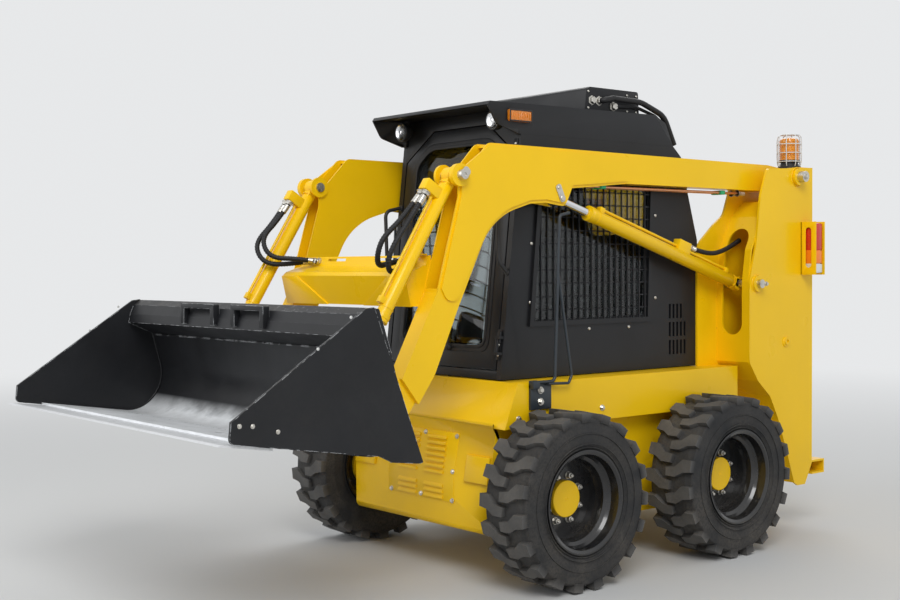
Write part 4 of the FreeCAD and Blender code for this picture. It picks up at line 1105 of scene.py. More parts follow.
class LOADER_OT_aircon(bpy.types.Operator):
    """Builds the air conditioner on the roof, with its lines, fan ring and screws"""

    bl_idname = "loader.aircon"
    bl_label = "Air Conditioner"

    def execute(self, context):
        case = side_plate([(-0.405, 2.134), (-0.420, 2.240, 0.012), (-0.445, 2.252, 0.016),
                           (-0.782, 2.252, 0.012), (-0.790, 2.134)], -0.350, 0.350)
        case = bevelled(case, 0.004)
        set_down(case, "aircon_case", "frame", "black_paint")
        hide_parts("aircon")
        big = bent_rod([(-0.500, 0.345, 2.186), (-0.500, 0.388, 2.186), (-0.560, 0.388, 2.200),
                        (-0.760, 0.388, 2.196), (-0.928, 0.388, 2.140), (-1.004, 0.388, 2.000)],
                       (0.014, 0.022, 0.200, 0.110), 0.0145)
        small = bent_rod([(-0.600, 0.345, 2.166), (-0.600, 0.362, 2.166), (-0.760, 0.362, 2.172),
                          (-0.915, 0.362, 2.134), (-0.978, 0.362, 2.010)], (0.010, 0.150, 0.090), 0.0085)
        set_down(joined([big, small]), "aircon_lines", "frame", "hose_rubber", 60.0, "black_paint")
        ends = [facing((x, 0.350, z), (0, 1, 0))
                for x, z in ((-0.500, 2.186), (-0.600, 2.166), (-0.452, 2.186))]
        union = turned([(0.024, 0.0), (0.024, 0.004), (0.018, 0.006), (0.018, 0.018), (0.0155, 0.020)], 6)
        set_down(joined_copies(union, ends), "aircon_unions", "frame", "zinc", 30.0)
        bolts = [facing((x, sign * 0.350, z), (0, sign, 0)) for sign in (1, -1)
                 for x in (-0.430, -0.700, -0.765) for z in (2.150, 2.228)]
        set_down(joined_copies(button_screw(0.006, 0.004), bolts), "aircon_screws", "frame", "zinc", 30.0)
        rings = [hoop((-0.610, 0.0, 2.2515), r, 0.0022) for r in (0.030, 0.055, 0.080, 0.105, 0.130, 0.150)]
        for i in range(6):
            angle = math.pi * i / 3
            c, s = math.cos(angle), math.sin(angle)
            rings.append(straight_rod((-0.610 + 0.030 * c, 0.030 * s, 2.2505),
                                      (-0.610 + 0.150 * c, 0.150 * s, 2.2505), 0.0020, 8))
        set_down(joined(rings), "aircon_fan_grid", "frame", "black_plastic", 60.0)
        return {"FINISHED"}


WORK_LAMP_Y = 0.338
WORK_LAMP_Z = 2.051


class LOADER_OT_lamp_bodies(bpy.types.Operator):
    """Builds the work lamps, the marker lamps and the tail lamps in their slotted guards"""

    bl_idname = "loader.lamp_bodies"
    bl_label = "Lamp Bodies"

    def execute(self, context):
        for side, sign in SIDES:
            shell = turned([(0.024, -0.046), (0.034, -0.036), (0.042, -0.022), (0.045, -0.008),
                            (0.045, 0.004), (0.040, 0.006), (0.012, 0.0095)], 48)
            y = sign * WORK_LAMP_Y
            shell = stood(shell, (0.159, y, WORK_LAMP_Z), (1, 0, 0))
            arm = bevelled(block((0.125, y - 0.014, 2.071), (0.143, y + 0.014, 2.1067)), 0.002)
            set_down(joined([shell, arm]), f"work_lamp_{side}", "frame", "black_plastic")

            marker = side_plate([(0.027, 2.039, 0.010), (0.164, 2.039, 0.010), (0.164, 2.093, 0.010),
                                 (0.027, 2.093, 0.010)], sign * 0.4303, sign * 0.4463)
            set_down(bevelled(marker, 0.0025), f"marker_lamp_{side}", "frame", "amber_lens")

            inner, outer = sign * 0.6563, sign * 0.7320
            tail = level_plate([(-1.775, inner), (-1.714, inner), (-1.714, outer, 0.022),
                                (-1.775, outer, 0.022)], 1.350, 1.610)
            set_down(bevelled(tail, 0.002), f"tail_lamp_{side}", "frame", "tail_lens")

            walls = [bevelled(block((-1.785, sign * 0.649, 1.342), (-1.704, sign * 0.656, 1.618)), 0.001)]
            middle = sign * 0.696
            for x in (-1.785, -1.710):
                wall = block((x, sign * 0.650, 1.342), (x + 0.006, sign * 0.742, 1.618))
                slot = front_plate([(middle - 0.018, 1.379, 0.017), (middle + 0.018, 1.379, 0.017),
                                    (middle + 0.018, 1.588, 0.017), (middle - 0.018, 1.588, 0.017)],
                                   x - 0.001, x + 0.007)
                walls.append(bevelled(cut_out(wall, slot), 0.0008))
            set_down(joined(walls), f"tail_lamp_guard_{side}", "frame", "yellow_paint")
        return {"FINISHED"}


class LOADER_OT_stays(bpy.types.Operator):
    """Builds the bent arm stays on the fenders and the grab handles beside the door"""

    bl_idname = "loader.stays"
    bl_label = "Stays and Handles"

    def execute(self, context):
        for side, sign in SIDES:
            foot = bevelled(block((0.050, sign * 0.5753, 0.763), (0.176, sign * 0.5893, 0.876)), 0.003)
            knuckle = bevelled(block((0.136, sign * 0.5753, 0.856), (0.176, sign * 0.6075, 0.892)), 0.003)
            y = sign * 0.600
            main_rod = bent_rod([(0.160, y, 0.884), (0.040, y, 0.884), (0.008, y, 1.618), (-0.052, y, 1.630)],
                                (0.024, 0.016), 0.0075)
            brace = bent_rod([(0.082, y, 0.875), (-0.046, y, 0.870), (-0.064, y, 0.905), (0.018, y, 1.368)],
                             (0.014, 0.014), 0.0065)
            stay = joined([foot, knuckle, main_rod, brace])
            set_down(stay, f"arm_stay_{side}", "frame", "stay_paint", 40.0)
            y = sign * 0.413
            handle = bent_rod([cab_front(y, 1.685, 0.001), (0.212, y, 1.666), (0.204, y, 1.416),
                               cab_front(y, 1.366, 0.001)], (0.036, 0.036), 0.009, sides=4)
            feet = [facing(cab_front(y, z, 0.0), CAB_NORMAL) for z in (1.685, 1.366)]
            flange = joined_copies(turned([(0.015, 0.0005), (0.015, 0.004), (0.011, 0.006)], 24), feet)
            set_down(joined([handle, flange]), f"grab_handle_{side}", "frame", "black_plastic", 40.0)
        return {"FINISHED"}


def along_line(start, end, share):
    return (start[0] + (end[0] - start[0]) * share, start[1] + (end[1] - start[1]) * share)


class LOADER_OT_contours(bpy.types.Operator):
    """Rounds the arms' inner corners and the bucket's throat, and lays the bucket's inner weld beads"""

    bl_idname = "loader.contours"
    bl_label = "Rounded Contours"

    def execute(self, context):
        # Corner points of an arm's inner edge, then the inner and outer Y of the fill
        edges = (
            (((0.565, 1.221), (0.399, 1.550), (0.289, 1.626), (0.153, 1.667)), 0.4752, 0.5638),
            (((0.571, 1.260), (0.399, 1.565), (0.289, 1.641), (0.153, 1.682)), 0.5630, 0.5718),
        )
        for side, sign in SIDES:
            fills = []
            for (low, first, second, high), inner, outer in edges:
                path = rounded([(along_line(low, first, 0.70), 0.0), (first, 0.300), (second, 0.330),
                                (along_line(second, high, 0.55), 0.0)], closed=False, steps=12)
                outline = [(p.x, p.y) for p in path] + [(x + 0.0015, z + 0.0015) for x, z in (second, first)]
                fills.append(side_plate(outline, sign * inner, sign * outer))
            set_down(joined(fills), f"arm_corner_{side}", "lift_arms", "yellow_paint", 30.0)

        line = [((1.2105, 1.0780), 0.0), ((1.1048, 0.6895), 0.165), ((1.430, 0.7405), 0.0)]
        throat = rounded(line, closed=False, steps=20)
        behind = [(1.430, 0.7350), (1.2525, 0.7060), (1.1915, 0.7080), (1.1430, 0.7630), (1.1335, 0.8190),
                  (1.2040, 1.0780)]
        outline = [(p.x, p.y) for p in throat] + behind
        throat_fill = side_plate(outline, -0.9265, 0.9265)
        set_down(throat_fill, "bucket_throat", "bucket", "bucket_paint", 30.0)
        path = rounded([((1.214, 1.085), 0.0), ((1.1085, 0.6930), 0.165), ((1.735, 0.7925), 0.0)],
                       closed=False, steps=16)
        beads = [wire([(p.x, y, p.y) for p in path], 0.0042, order=2, steps=1) for y in (0.9255, -0.9255)]
        set_down(joined(beads), "bucket_weld_beads", "bucket", "black_paint", 50.0)
        return {"FINISHED"}


class LOADER_OT_rear_fittings(bpy.types.Operator):
    """Adds the rear door's latch and screws, and the grab bar of the hood"""

    bl_idname = "loader.rear_fittings"
    bl_label = "Rear Fittings"

    def execute(self, context):
        face = -1.846
        base = bevelled(front_plate([(-0.385, 0.880, 0.012), (-0.325, 0.880, 0.012), (-0.325, 0.990, 0.012),
                                     (-0.385, 0.990, 0.012)], face - 0.005, face - 0.0002), 0.0015)
        lock = stood(turned([(0.016, 0.0), (0.016, 0.006), (0.013, 0.009), (0.006, 0.009), (0.005, 0.007)]),
                     (face - 0.005, -0.355, 0.905), (-1, 0, 0))
        bar = bent_rod([(face - 0.004, -0.355, 0.980), (face - 0.030, -0.355, 0.980),
                        (face - 0.030, -0.355, 0.925), (face - 0.004, -0.355, 0.925)], (0.010, 0.010), 0.006)
        set_down(joined([base, lock, bar]), "rear_door_latch", "rear_door", "black_plastic", 40.0)
        spots = [(y, z) for y in (-0.330, 0.330) for z in (0.600, 0.760, 0.920, 1.080, 1.240)]
        spots += [(y, z) for y in (-0.200, 0.0, 0.200) for z in (0.530, 1.310)]
        places = [facing((face - 0.0002, y, z), (-1, 0, 0), 0.4 * i) for i, (y, z) in enumerate(spots)]
        screws = joined_copies(button_screw(0.008, 0.005), places)
        set_down(screws, "rear_door_screws", "rear_door", "zinc", 30.0)
        bar = bent_rod([(-1.760, 0.110, 1.478), (-1.760, 0.110, 1.512), (-1.760, -0.110, 1.512),
                        (-1.760, -0.110, 1.478)], (0.016, 0.016), 0.007)
        set_down(bar, "hood_grab_bar", "hood", "black_plastic", 40.0)
        return {"FINISHED"}


# Hoses

# Places along and above a lift barrel that its hose runs through
LIFT_ROUTE = ((0.4144, 0.066), (0.262, 0.070), (0.125, 0.142), (-0.022, 0.241))

# Name, side, Y at the port, Y at the cross-member's gland, length and places between the two
TILT_ROUTES = (
    ("tilt_hose_left_outer", 1, 0.502, 0.330, 0.641,
     ((0.805, 0.502, 1.594), (0.910, 0.500, 1.512), (0.921, 0.476, 1.440), (0.882, 0.432, 1.396),
      (0.792, 0.383, 1.406))),
    ("tilt_hose_left_inner", 1, 0.534, 0.376, 0.618,
     ((0.786, 0.534, 1.600), (0.872, 0.533, 1.492), (0.895, 0.515, 1.424), (0.866, 0.482, 1.372),
      (0.786, 0.432, 1.374))),
    ("tilt_hose_right_outer", -1, 0.502, 0.330, 0.532,
     ((0.778, 0.502, 1.614), (0.858, 0.502, 1.540), (0.866, 0.480, 1.478), (0.835, 0.444, 1.436),
      (0.758, 0.380, 1.434))),
    ("tilt_hose_right_inner", -1, 0.534, 0.376, 0.570,
     ((0.782, 0.534, 1.604), (0.876, 0.532, 1.516), (0.884, 0.508, 1.452), (0.852, 0.470, 1.408),
      (0.766, 0.425, 1.408))),
)


def hose_routes():
    """Name, body, points and length of every hose."""
    routes = []
    for side, sign in SIDES:
        points = [on_barrel(LIFT_BASE_PIN, LIFT_ROD_PIN, along, height, sign * ARM_CENTRE_Y)
                  for along, height in LIFT_ROUTE]
        points[-1].y = sign * 0.466
        routes.append((f"lift_hose_{side}", f"lift_barrel_{side}", points, 0.482))
    for name, sign, port_y, gland_y, length, middle in TILT_ROUTES:
        points = [on_barrel(TILT_TOP_PIN, TILT_ROD_PIN, 0.140, 0.084, sign * port_y)]
        points += [Vector((x, sign * y, z)) for x, y, z in middle]
        points.append(Vector((0.6823, sign * gland_y, 1.421)))
        routes.append((name, "lift_arms", points, length))
    return routes


def spiral(line, radius, pitch, turn_points=10):
    """Points of a helix about a line of close points."""
    lengths = [0.0]
    for before, after in zip(line, line[1:]):
        lengths.append(lengths[-1] + (after - before).length)
    across = (line[1] - line[0]).orthogonal().normalized()
    frames = []
    for i, place in enumerate(line):
        ahead = (line[min(i + 1, len(line) - 1)] - line[max(i - 1, 0)]).normalized()
        across = (across - ahead * across.dot(ahead)).normalized()
        frames.append((place, across, ahead.cross(across)))
    points = []
    count = int(lengths[-1] / pitch * turn_points)
    index = 0
    for step in range(count + 1):
        reach = lengths[-1] * step / count
        while index < len(line) - 2 and lengths[index + 1] < reach:
            index += 1
        share = (reach - lengths[index]) / (lengths[index + 1] - lengths[index])
        place = frames[index][0].lerp(frames[index + 1][0], share)
        one = frames[index][1].lerp(frames[index + 1][1], share).normalized()
        two = frames[index][2].lerp(frames[index + 1][2], share).normalized()
        angle = 2 * math.pi * step / turn_points
        points.append(place + (one * math.cos(angle) + two * math.sin(angle)) * radius)
    return points


def crimp(length, radius):
    """Hose end along +Z: a hex nut, a neck and the crimped sleeve."""
    nut = hex_nut(radius * 1.95, length * 0.24, length * 0.02)
    profile = [(radius * 0.72, length * 0.20), (radius * 0.72, length * 0.34), (radius * 0.95, length * 0.36)]
    for i in range(4):
        start = length * (0.40 + 0.14 * i)
        profile += [(radius * 0.95, start), (radius * 0.88, start + length * 0.02),
                    (radius * 0.88, start + length * 0.06), (radius * 0.95, start + length * 0.08)]
    profile += [(radius * 0.95, length * 0.98), (radius * 0.82, length)]
    return joined([nut, turned(profile, 20)])


class LOADER_OT_hoses(bpy.types.Operator):
    """Lays the hydraulic hoses in their spiral guards and crimps their ends"""

    bl_idname = "loader.hoses"
    bl_label = "Hoses"

    def execute(self, context):
        for name, body, points, length in hose_routes():
            route = spline_object(name + "_line", points, steps=10)
            shape = bpy.data.meshes.new_from_object(route)
            line = [vertex.co.copy() for vertex in shape.vertices]
            bpy.data.meshes.remove(shape)
            bpy.data.objects.remove(route)
            core = wire(line, 0.0108, order=2, steps=1, sides=3)
            rib = wire(spiral(line, 0.0104, 0.0125), 0.0026, order=2, steps=1, sides=1)
            hose = joined([core, rib])
            set_down(hose, name, body, "hose_rubber", 60.0)
            lift = name.startswith("lift")
            first = stood(crimp(0.050 if lift else 0.062, 0.0150), line[0], line[1] - line[0])
            set_down(first, name + "_upper_end", body, "zinc", 30.0)
            if not lift:
                last = stood(crimp(0.034, 0.0145), line[-1], line[-2] - line[-1])
                set_down(last, name + "_lower_end", body, "zinc", 30.0)
        return {"FINISHED"}


# Fasteners

def dome_bolt(radius, height):
    """Round washer with a hex head and its chamfer, standing on Z = 0."""
    washer = turned([(radius, 0.0), (radius, height * 0.22), (radius * 0.93, height * 0.30)], 20)
    across = radius * 0.70
    head = turned([(across, height * 0.25), (across, height * 0.86), (radius * 0.60, height)], 6)
    return joined([washer, head])


def button_screw(radius, height):
    """Round-headed screw with a hex socket."""
    return turned([(radius, 0.0), (radius, height * 0.35), (radius * 0.86, height * 0.75),
                   (radius * 0.6, height), (radius * 0.36, height), (radius * 0.34, height * 0.5)], 16)


# Places of the front cover's bolts (y, z)
COVER_BOLTS = ((0.247, 0.628), (0.245, 0.470), (0.247, 0.340), (0.021, 0.345), (-0.204, 0.340),
               (-0.213, 0.470), (-0.213, 0.628), (0.021, 0.628))

# Name, body, finish, radius, height and places on the left side, which the right side mirrors
SIDE_BOLTS = (
    ("hull_bolts", "frame", "zinc", 0.014, 0.012, ((0.236, 0.575, 0.728), (-0.285, 0.575, 0.741))),
    ("stay_bolts", "frame", "zinc", 0.017, 0.014, ((0.118, 0.5893, 0.848), (0.118, 0.5893, 0.797))),
    ("bucket_bolts", "bucket", "zinc", 0.0085, 0.005,
     ((1.838, 0.939, 0.860), (1.787, 0.939, 0.856), (1.687, 0.939, 0.829))),
)
SIDE_SCREWS = (
    ("guard_screws", "frame", "zinc", 0.008, 0.005,
     ((0.020, 0.430, 1.496), (0.029, 0.430, 1.229), (-0.351, 0.430, 1.098), (-0.623, 0.430, 1.098),
      (-0.815, 0.430, 1.235), (-0.815, 0.430, 1.640), (-0.351, 0.430, 1.822), (-0.623, 0.430, 1.822))),
    ("bucket_screws", "bucket", "white_wire", 0.006, 0.003, ((1.521, 0.939, 1.106), (1.379, 0.939, 1.213))),
)


class LOADER_OT_fasteners(bpy.types.Operator):
    """Adds the bolts and screws of the hull, cover, stays, guards and bucket"""

    bl_idname = "loader.fasteners"
    bl_label = "Fasteners"

    def execute(self, context):
        places = [facing((front_x(z) + 0.0026, y, z), (1.0, 0.0, FRONT_LEAN), 0.5 * i)
                  for i, (y, z) in enumerate(COVER_BOLTS)]
        set_down(joined_copies(dome_bolt(0.0115, 0.009), places), "cover_bolts", "frame", "zinc", 30.0)
        for rows, shape in ((SIDE_BOLTS, dome_bolt), (SIDE_SCREWS, button_screw)):
            for name, body, finish, radius, height, spots in rows:
                for side, sign in SIDES:
                    places = [facing((x, sign * y, z), (0, sign, 0), 0.5 * i)
                              for i, (x, y, z) in enumerate(spots)]
                    row = joined_copies(shape(radius, height), places)
                    set_down(row, f"{name}_{side}", body, finish, 30.0)
        return {"FINISHED"}


# Lamps and beacon

# Heights of the tail lamp's clear, amber and red bands
TAIL_BANDS = ((1.353, 1.398), (1.402, 1.468), (1.472, 1.607))

# Name, finish, smoothing angle, corners and profile (radius, height) of the parts in a work lamp's mouth
WORK_LAMP_PARTS = (
    ("bezel", "black_plastic", 35.0, 48,
     [(0.0445, -0.010), (0.0450, 0.001), (0.0430, 0.004), (0.0395, 0.004), (0.0385, 0.0005)]),
    ("reflector", "reflector", 35.0, 40,
     [(0.0380, 0.0006), (0.0380, 0.0030), (0.0300, 0.0022), (0.0200, 0.0016), (0.0100, 0.0014),
      (0.0090, 0.0040), (0.0050, 0.0046)]),
    ("glass", "lamp_glass", 60.0, 40,
     [(0.0388, 0.0008), (0.0388, 0.0050), (0.0350, 0.0078), (0.0270, 0.0100), (0.0160, 0.0114),
      (0.0060, 0.0119)]),
)


class LOADER_OT_lamps(bpy.types.Operator):
    """Gives the work lamps, marker lamps and tail lamps their lenses, bezels, reflectors and frames"""

    bl_idname = "loader.lamps"
    bl_label = "Lamps"

    def execute(self, context):
        for side, sign in SIDES:
            for part, finish, angle, vertices, profile in WORK_LAMP_PARTS:
                piece = stood(turned(profile, vertices), (0.169, sign * WORK_LAMP_Y, WORK_LAMP_Z), (1, 0, 0))
                set_down(piece, f"work_lamp_{part}_{side}", "frame", finish, angle)

            out = sign * 0.4463
            corners = [(0.027, out, 2.039), (0.164, out, 2.039), (0.164, out, 2.093), (0.027, out, 2.093)]
            frame_piece = surround(corners, (0, sign * 0.003, 0), 0.006)
            set_down(bevelled(frame_piece, 0.001), f"marker_lamp_frame_{side}", "frame", "black_plastic")
            ribs = []
            for i in range(9):
                x = 0.040 + i * 0.0139
                proud = out + sign * 0.0012
                line = [(x, out, 2.050), (x, proud, 2.052), (x, proud, 2.080), (x, out, 2.082)]
                ribs.append(wire(line, 0.0022, steps=3, sides=1))
            set_down(joined(ribs), f"marker_lamp_ribs_{side}", "frame", "amber_lens", 60.0)

            edge = sign * 0.732
            lens = [bevelled(block((-1.770, edge, low), (-1.719, edge + sign * 0.0035, high)), 0.0015)
                    for low, high in TAIL_BANDS]
            set_down(joined(lens), f"tail_lamp_lens_{side}", "frame", "tail_lens")
            middle = sign * 0.694
            back = [bevelled(block((-1.779, middle - 0.034, low), (-1.7745, middle + 0.034, high)), 0.0015)
                    for low, high in TAIL_BANDS]
            set_down(joined(back), f"tail_lamp_back_{side}", "frame", "tail_lens")
        return {"FINISHED"}


class LOADER_OT_beacon(bpy.types.Operator):
    """Adds the beacon's ribbed dome, its foot and its white wire guard"""

    bl_idname = "loader.beacon"
    bl_label = "Beacon"

    def execute(self, context):
        x, y, top = -1.755, 0.540, 1.905
        stand = Matrix.Translation((x, y, top))
        foot = turned([(0.060, 0.0003), (0.060, 0.010), (0.050, 0.014), (0.044, 0.030), (0.054, 0.036),
                       (0.054, 0.0435)], 40)
        set_down(moved(foot, stand), "beacon_foot", "frame", "black_plastic")
        profile = [(0.052, 0.0440)]
        for i in range(9):
            z = 0.048 + i * 0.0105
            profile += [(0.0520, z), (0.0505, z + 0.002), (0.0505, z + 0.0065), (0.0520, z + 0.0085)]
        profile += [(0.0515, 0.144), (0.0470, 0.154), (0.0360, 0.160), (0.0200, 0.163), (0.0060, 0.163)]
        set_down(moved(turned(profile, 48), stand), "beacon_lens", "frame", "beacon_lens", 30.0)
        wires = []
        for radius, z in ((0.0645, 0.036), (0.0645, 0.082), (0.0645, 0.128), (0.043, 0.1775)):
            wires.append(hoop((0, 0, z), radius, 0.0026, count=16, steps=4))
        for i in range(8):
            angle = 2 * math.pi * (i + 0.5) / 8
            c, s = math.cos(angle), math.sin(angle)
            stations = ((0.056, 0.012), (0.0645, 0.020), (0.0645, 0.100), (0.0645, 0.165), (0.052, 0.1775),
                        (0.020, 0.1775), (0.006, 0.1775))
            wires.append(wire([(r * c, r * s, z) for r, z in stations], 0.0026, steps=5, sides=1))
        set_down(moved(joined(wires), stand), "beacon_guard", "frame", "white_wire", 60.0)
        return {"FINISHED"}


# Cab door

def cut_corner_outline(half, low, high, corner):
    """Cab-door outline: square at the foot, cut corners at the head, with every corner rounded."""
    across, down = corner
    sharp = [(-half, low), (half, low), (half, high - down), (half - across, high), (-half + across, high),
             (-half, high - down)]
    points = []
    for i, (y, z) in enumerate(sharp):
        before = Vector(sharp[i - 1])
        after = Vector(sharp[(i + 1) % len(sharp)])
        here = Vector((y, z))
        cut = 0.045 if i > 1 else 0.060
        start = here + (before - here).normalized() * cut
        end = here + (after - here).normalized() * cut
        for step in range(7):
            t = step / 6.0
            points.append(start * (1 - t) ** 2 + here * (2 * t * (1 - t)) + end * t ** 2)
    return points


class LOADER_OT_door_trim(bpy.types.Operator):
    """Adds the cab door's rubber seals, hinges, handle and wiper"""

    bl_idname = "loader.door_trim"
    bl_label = "Door Trim"

    def execute(self, context):
        seals = []
        for half, low, high, corner, width, proud in (
                (0.330, 1.004, 1.988, (0.108, 0.086), 0.030, 0.0045),
                (0.312, 1.022, 1.970, (0.102, 0.081), 0.014, 0.0085)):
            outline = [cab_front(p.x, p.y, -0.001) for p in cut_corner_outline(half, low, high, corner)]
            seals.append(bevelled(surround(outline, CAB_NORMAL * proud, width), 0.002, 2, 50.0))
        set_down(joined(seals), "door_seal", "cab_door", "hose_rubber", 40.0, "black_paint")

        hinges = []
        for z in (1.042, 1.900):
            corners = ((0.392, z - 0.068), (0.416, z - 0.068), (0.416, z + 0.068), (0.392, z + 0.068))
            leaf = plate([cab_front(y, h, 0.0006) for y, h in corners], CAB_NORMAL * 0.004)
            hinges.append(bevelled(leaf, 0.0012))
        set_down(joined(hinges), "door_hinge_leaves", "cab_door", "black_paint")
        places = [facing(cab_front(0.404, z, 0.0045), CAB_NORMAL)
                  for z in (0.996, 1.042, 1.088, 1.854, 1.900, 1.946)]
        screws = joined_copies(button_screw(0.0062, 0.004), places)
        set_down(screws, "door_hinge_screws", "cab_door", "zinc", 30.0)

        corners = ((-0.378, 1.300), (-0.346, 1.300), (-0.346, 1.440), (-0.378, 1.440))
        base = plate([cab_front(y, z) for y, z in corners], CAB_NORMAL * 0.010)
        grip = wire([cab_front(-0.362, 1.320, 0.006), cab_front(-0.362, 1.322, 0.040),
                     cab_front(-0.362, 1.370, 0.046), cab_front(-0.362, 1.420, 0.040),
                     cab_front(-0.362, 1.422, 0.006)], 0.008, steps=8, sides=3)
        lock = turned([(0.0105, 0.0), (0.0105, 0.006), (0.0095, 0.008), (0.004, 0.008), (0.0035, 0.006)], 20)
        lock = stood(lock, cab_front(-0.362, 1.275), CAB_NORMAL)
        handle = joined([bevelled(base, 0.003), grip, lock])
        set_down(handle, "door_handle", "cab_door", "black_plastic", 40.0)

        arm = wire([cab_front(*point) for point in ((0.060, 1.030, 0.012), (0.050, 1.100, 0.020),
                                                    (0.010, 1.300, 0.020), (-0.020, 1.450, 0.014))], 0.005)
        blade = wire([cab_front(*point) for point in ((-0.045, 1.260, 0.006), (-0.030, 1.380, 0.010),
                                                      (-0.020, 1.450, 0.011), (-0.006, 1.560, 0.010),
                                                      (0.004, 1.660, 0.006))], 0.0055)
        pivot = stood(turned([(0.016, 0.0), (0.016, 0.010), (0.010, 0.018), (0.006, 0.020)], 24),
                      cab_front(0.060, 1.018, 0.003), CAB_NORMAL)
        set_down(joined([arm, blade, pivot]), "door_wiper", "cab_door", "black_plastic", 40.0)
        return {"FINISHED"}


# Levers, seat, barrels and pins

# Steering lever's grip (radius, height)
GRIP_PROFILE = ((0.011, 0.0), (0.016, 0.004), (0.0175, 0.020), (0.0165, 0.040), (0.0180, 0.060),
                (0.0170, 0.082), (0.0185, 0.100), (0.0165, 0.116), (0.0100, 0.123))


class LOADER_OT_levers(bpy.types.Operator):
    """Adds the two steering levers with their gaiters and grips"""

    bl_idname = "loader.levers"
    bl_label = "Steering Levers"

    def execute(self, context):
        pieces = []
        for sign in (1, -1):
            y = sign * 0.260
            foot = bevelled(block((-0.062, y - 0.028, 0.4703), (-0.002, y + 0.028, 0.498)), 0.004)
            bellows = [(0.027, 0.0)]
            for i in range(6):
                r = 0.0265 - i * 0.0026
                bellows += [(r, 0.006 + i * 0.012), (r - 0.006, 0.012 + i * 0.012)]
            bellows.append((0.010, 0.082))
            low = Vector((-0.032, y, 0.497))
            high = Vector((-0.074, sign * 0.240, 1.110))
            gaiter = stood(turned(bellows, 28), low, high - low)
            rod = wire([low, low.lerp(high, 0.35), low.lerp(high, 0.7), high], 0.0078, steps=6, sides=3)
            start = Vector((-0.072, sign * 0.241, 1.096))
            end = Vector((-0.096, sign * 0.230, 1.2145))
            grip = stood(turned(GRIP_PROFILE, 28), start, end - start)
            pieces += [foot, gaiter, rod, grip]
        set_down(joined(pieces), "steering_levers", "frame", "black_plastic", 40.0)
        return {"FINISHED"}


def swollen(name, node, outline_cut, pressure, cap, seams, top_axis):
    """Cushion blown up by cloth simulation from a slightly smaller copy of its CAD solid."""
    low, high = [Vector(corner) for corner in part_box(node)]
    middle = (low + high) / 2
    piece = node_copy(node)
    edit_all()
    bpy.ops.transform.resize(value=[(b - a - 2 * outline_cut) / (b - a) for a, b in zip(low, high)],
                             center_override=middle)
    bpy.ops.object.mode_set(mode="OBJECT")
    remesh = piece.modifiers.new("Remesh", "REMESH")
    remesh.mode = "VOXEL"
    remesh.voxel_size = 0.006
    bpy.ops.object.modifier_apply(modifier=remesh.name)
    rest = [vertex.co.copy() for vertex in piece.data.vertices]
    cloth = piece.modifiers.new("Cloth", "CLOTH")
    settings = cloth.settings
    settings.quality = 5
    settings.mass = 0.3
    settings.tension_stiffness = 18.0
    settings.compression_stiffness = 18.0
    settings.shear_stiffness = 8.0
    settings.bending_stiffness = 0.6
    settings.use_pressure = True
    settings.uniform_pressure_force = pressure
    settings.effector_weights.gravity = 0.0
    for number in range(1, 21):
        bpy.context.scene.frame_set(number)
    graph = bpy.context.evaluated_depsgraph_get()
    blown = piece.evaluated_get(graph).to_mesh()
    for vertex, start, there in zip(piece.data.vertices, rest, blown.vertices):
        step = there.co - start
        if step.length > cap:
            step = step.normalized() * cap
        place = start + step
        vertex.co = [min(max(c, a + 0.0005), b - 0.0005) for c, a, b in zip(place, low, high)]
    piece.evaluated_get(graph).to_mesh_clear()
    piece.modifiers.remove(cloth)
    bpy.context.scene.frame_set(1)
    # Sewn channels: the cover is pulled in along each seam.
    for vertex in piece.data.vertices:
        for axis, at, depth in seams:
            near = abs(vertex.co[axis] - at)
            if near < 0.012:
                pull = depth * (1.0 - near / 0.012) ** 0.7
                way = middle - vertex.co
                way[axis] = 0.0
                keep = [0.0, 0.0, 0.0]
                keep[top_axis] = way[top_axis]
                vertex.co += Vector(keep).normalized() * pull if way.length else Vector()
    finer = piece.modifiers.new("Subdivision", "SUBSURF")
    finer.levels = 1
    finer.render_levels = 1
    apply_modifiers(piece)
    set_down(piece, name, "frame", "seat_vinyl", 180.0)
    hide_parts(node)


class LOADER_OT_seat(bpy.types.Operator):
    """Upholsters the seat"""

    bl_idname = "loader.seat"
    bl_label = "Seat"

    def execute(self, context):
        swollen("seat_pad", "seat_cushion", 0.008, 4.0, 0.016,
                [(1, -0.14, 0.006), (1, 0.0, 0.006), (1, 0.14, 0.006)], 2)
        swollen("seat_back_pad", "seat_back", 0.008, 4.0, 0.016,
                [(2, 1.20, 0.006), (2, 1.32, 0.006), (2, 1.44, 0.006)], 0)
        return {"FINISHED"}


# Name: base pin, rod pin, rod shown, barrel and rod radius, port (start, length, height), pipe to the base
CYLINDERS = {
    "lift": (LIFT_BASE_PIN, LIFT_ROD_PIN, 0.219, 0.033, 0.020, (0.415, 0.090, 0.080), True),
    "tilt": (TILT_TOP_PIN, TILT_ROD_PIN, 0.1945, 0.030, 0.016, (0.082, 0.050, 0.104), False),
}


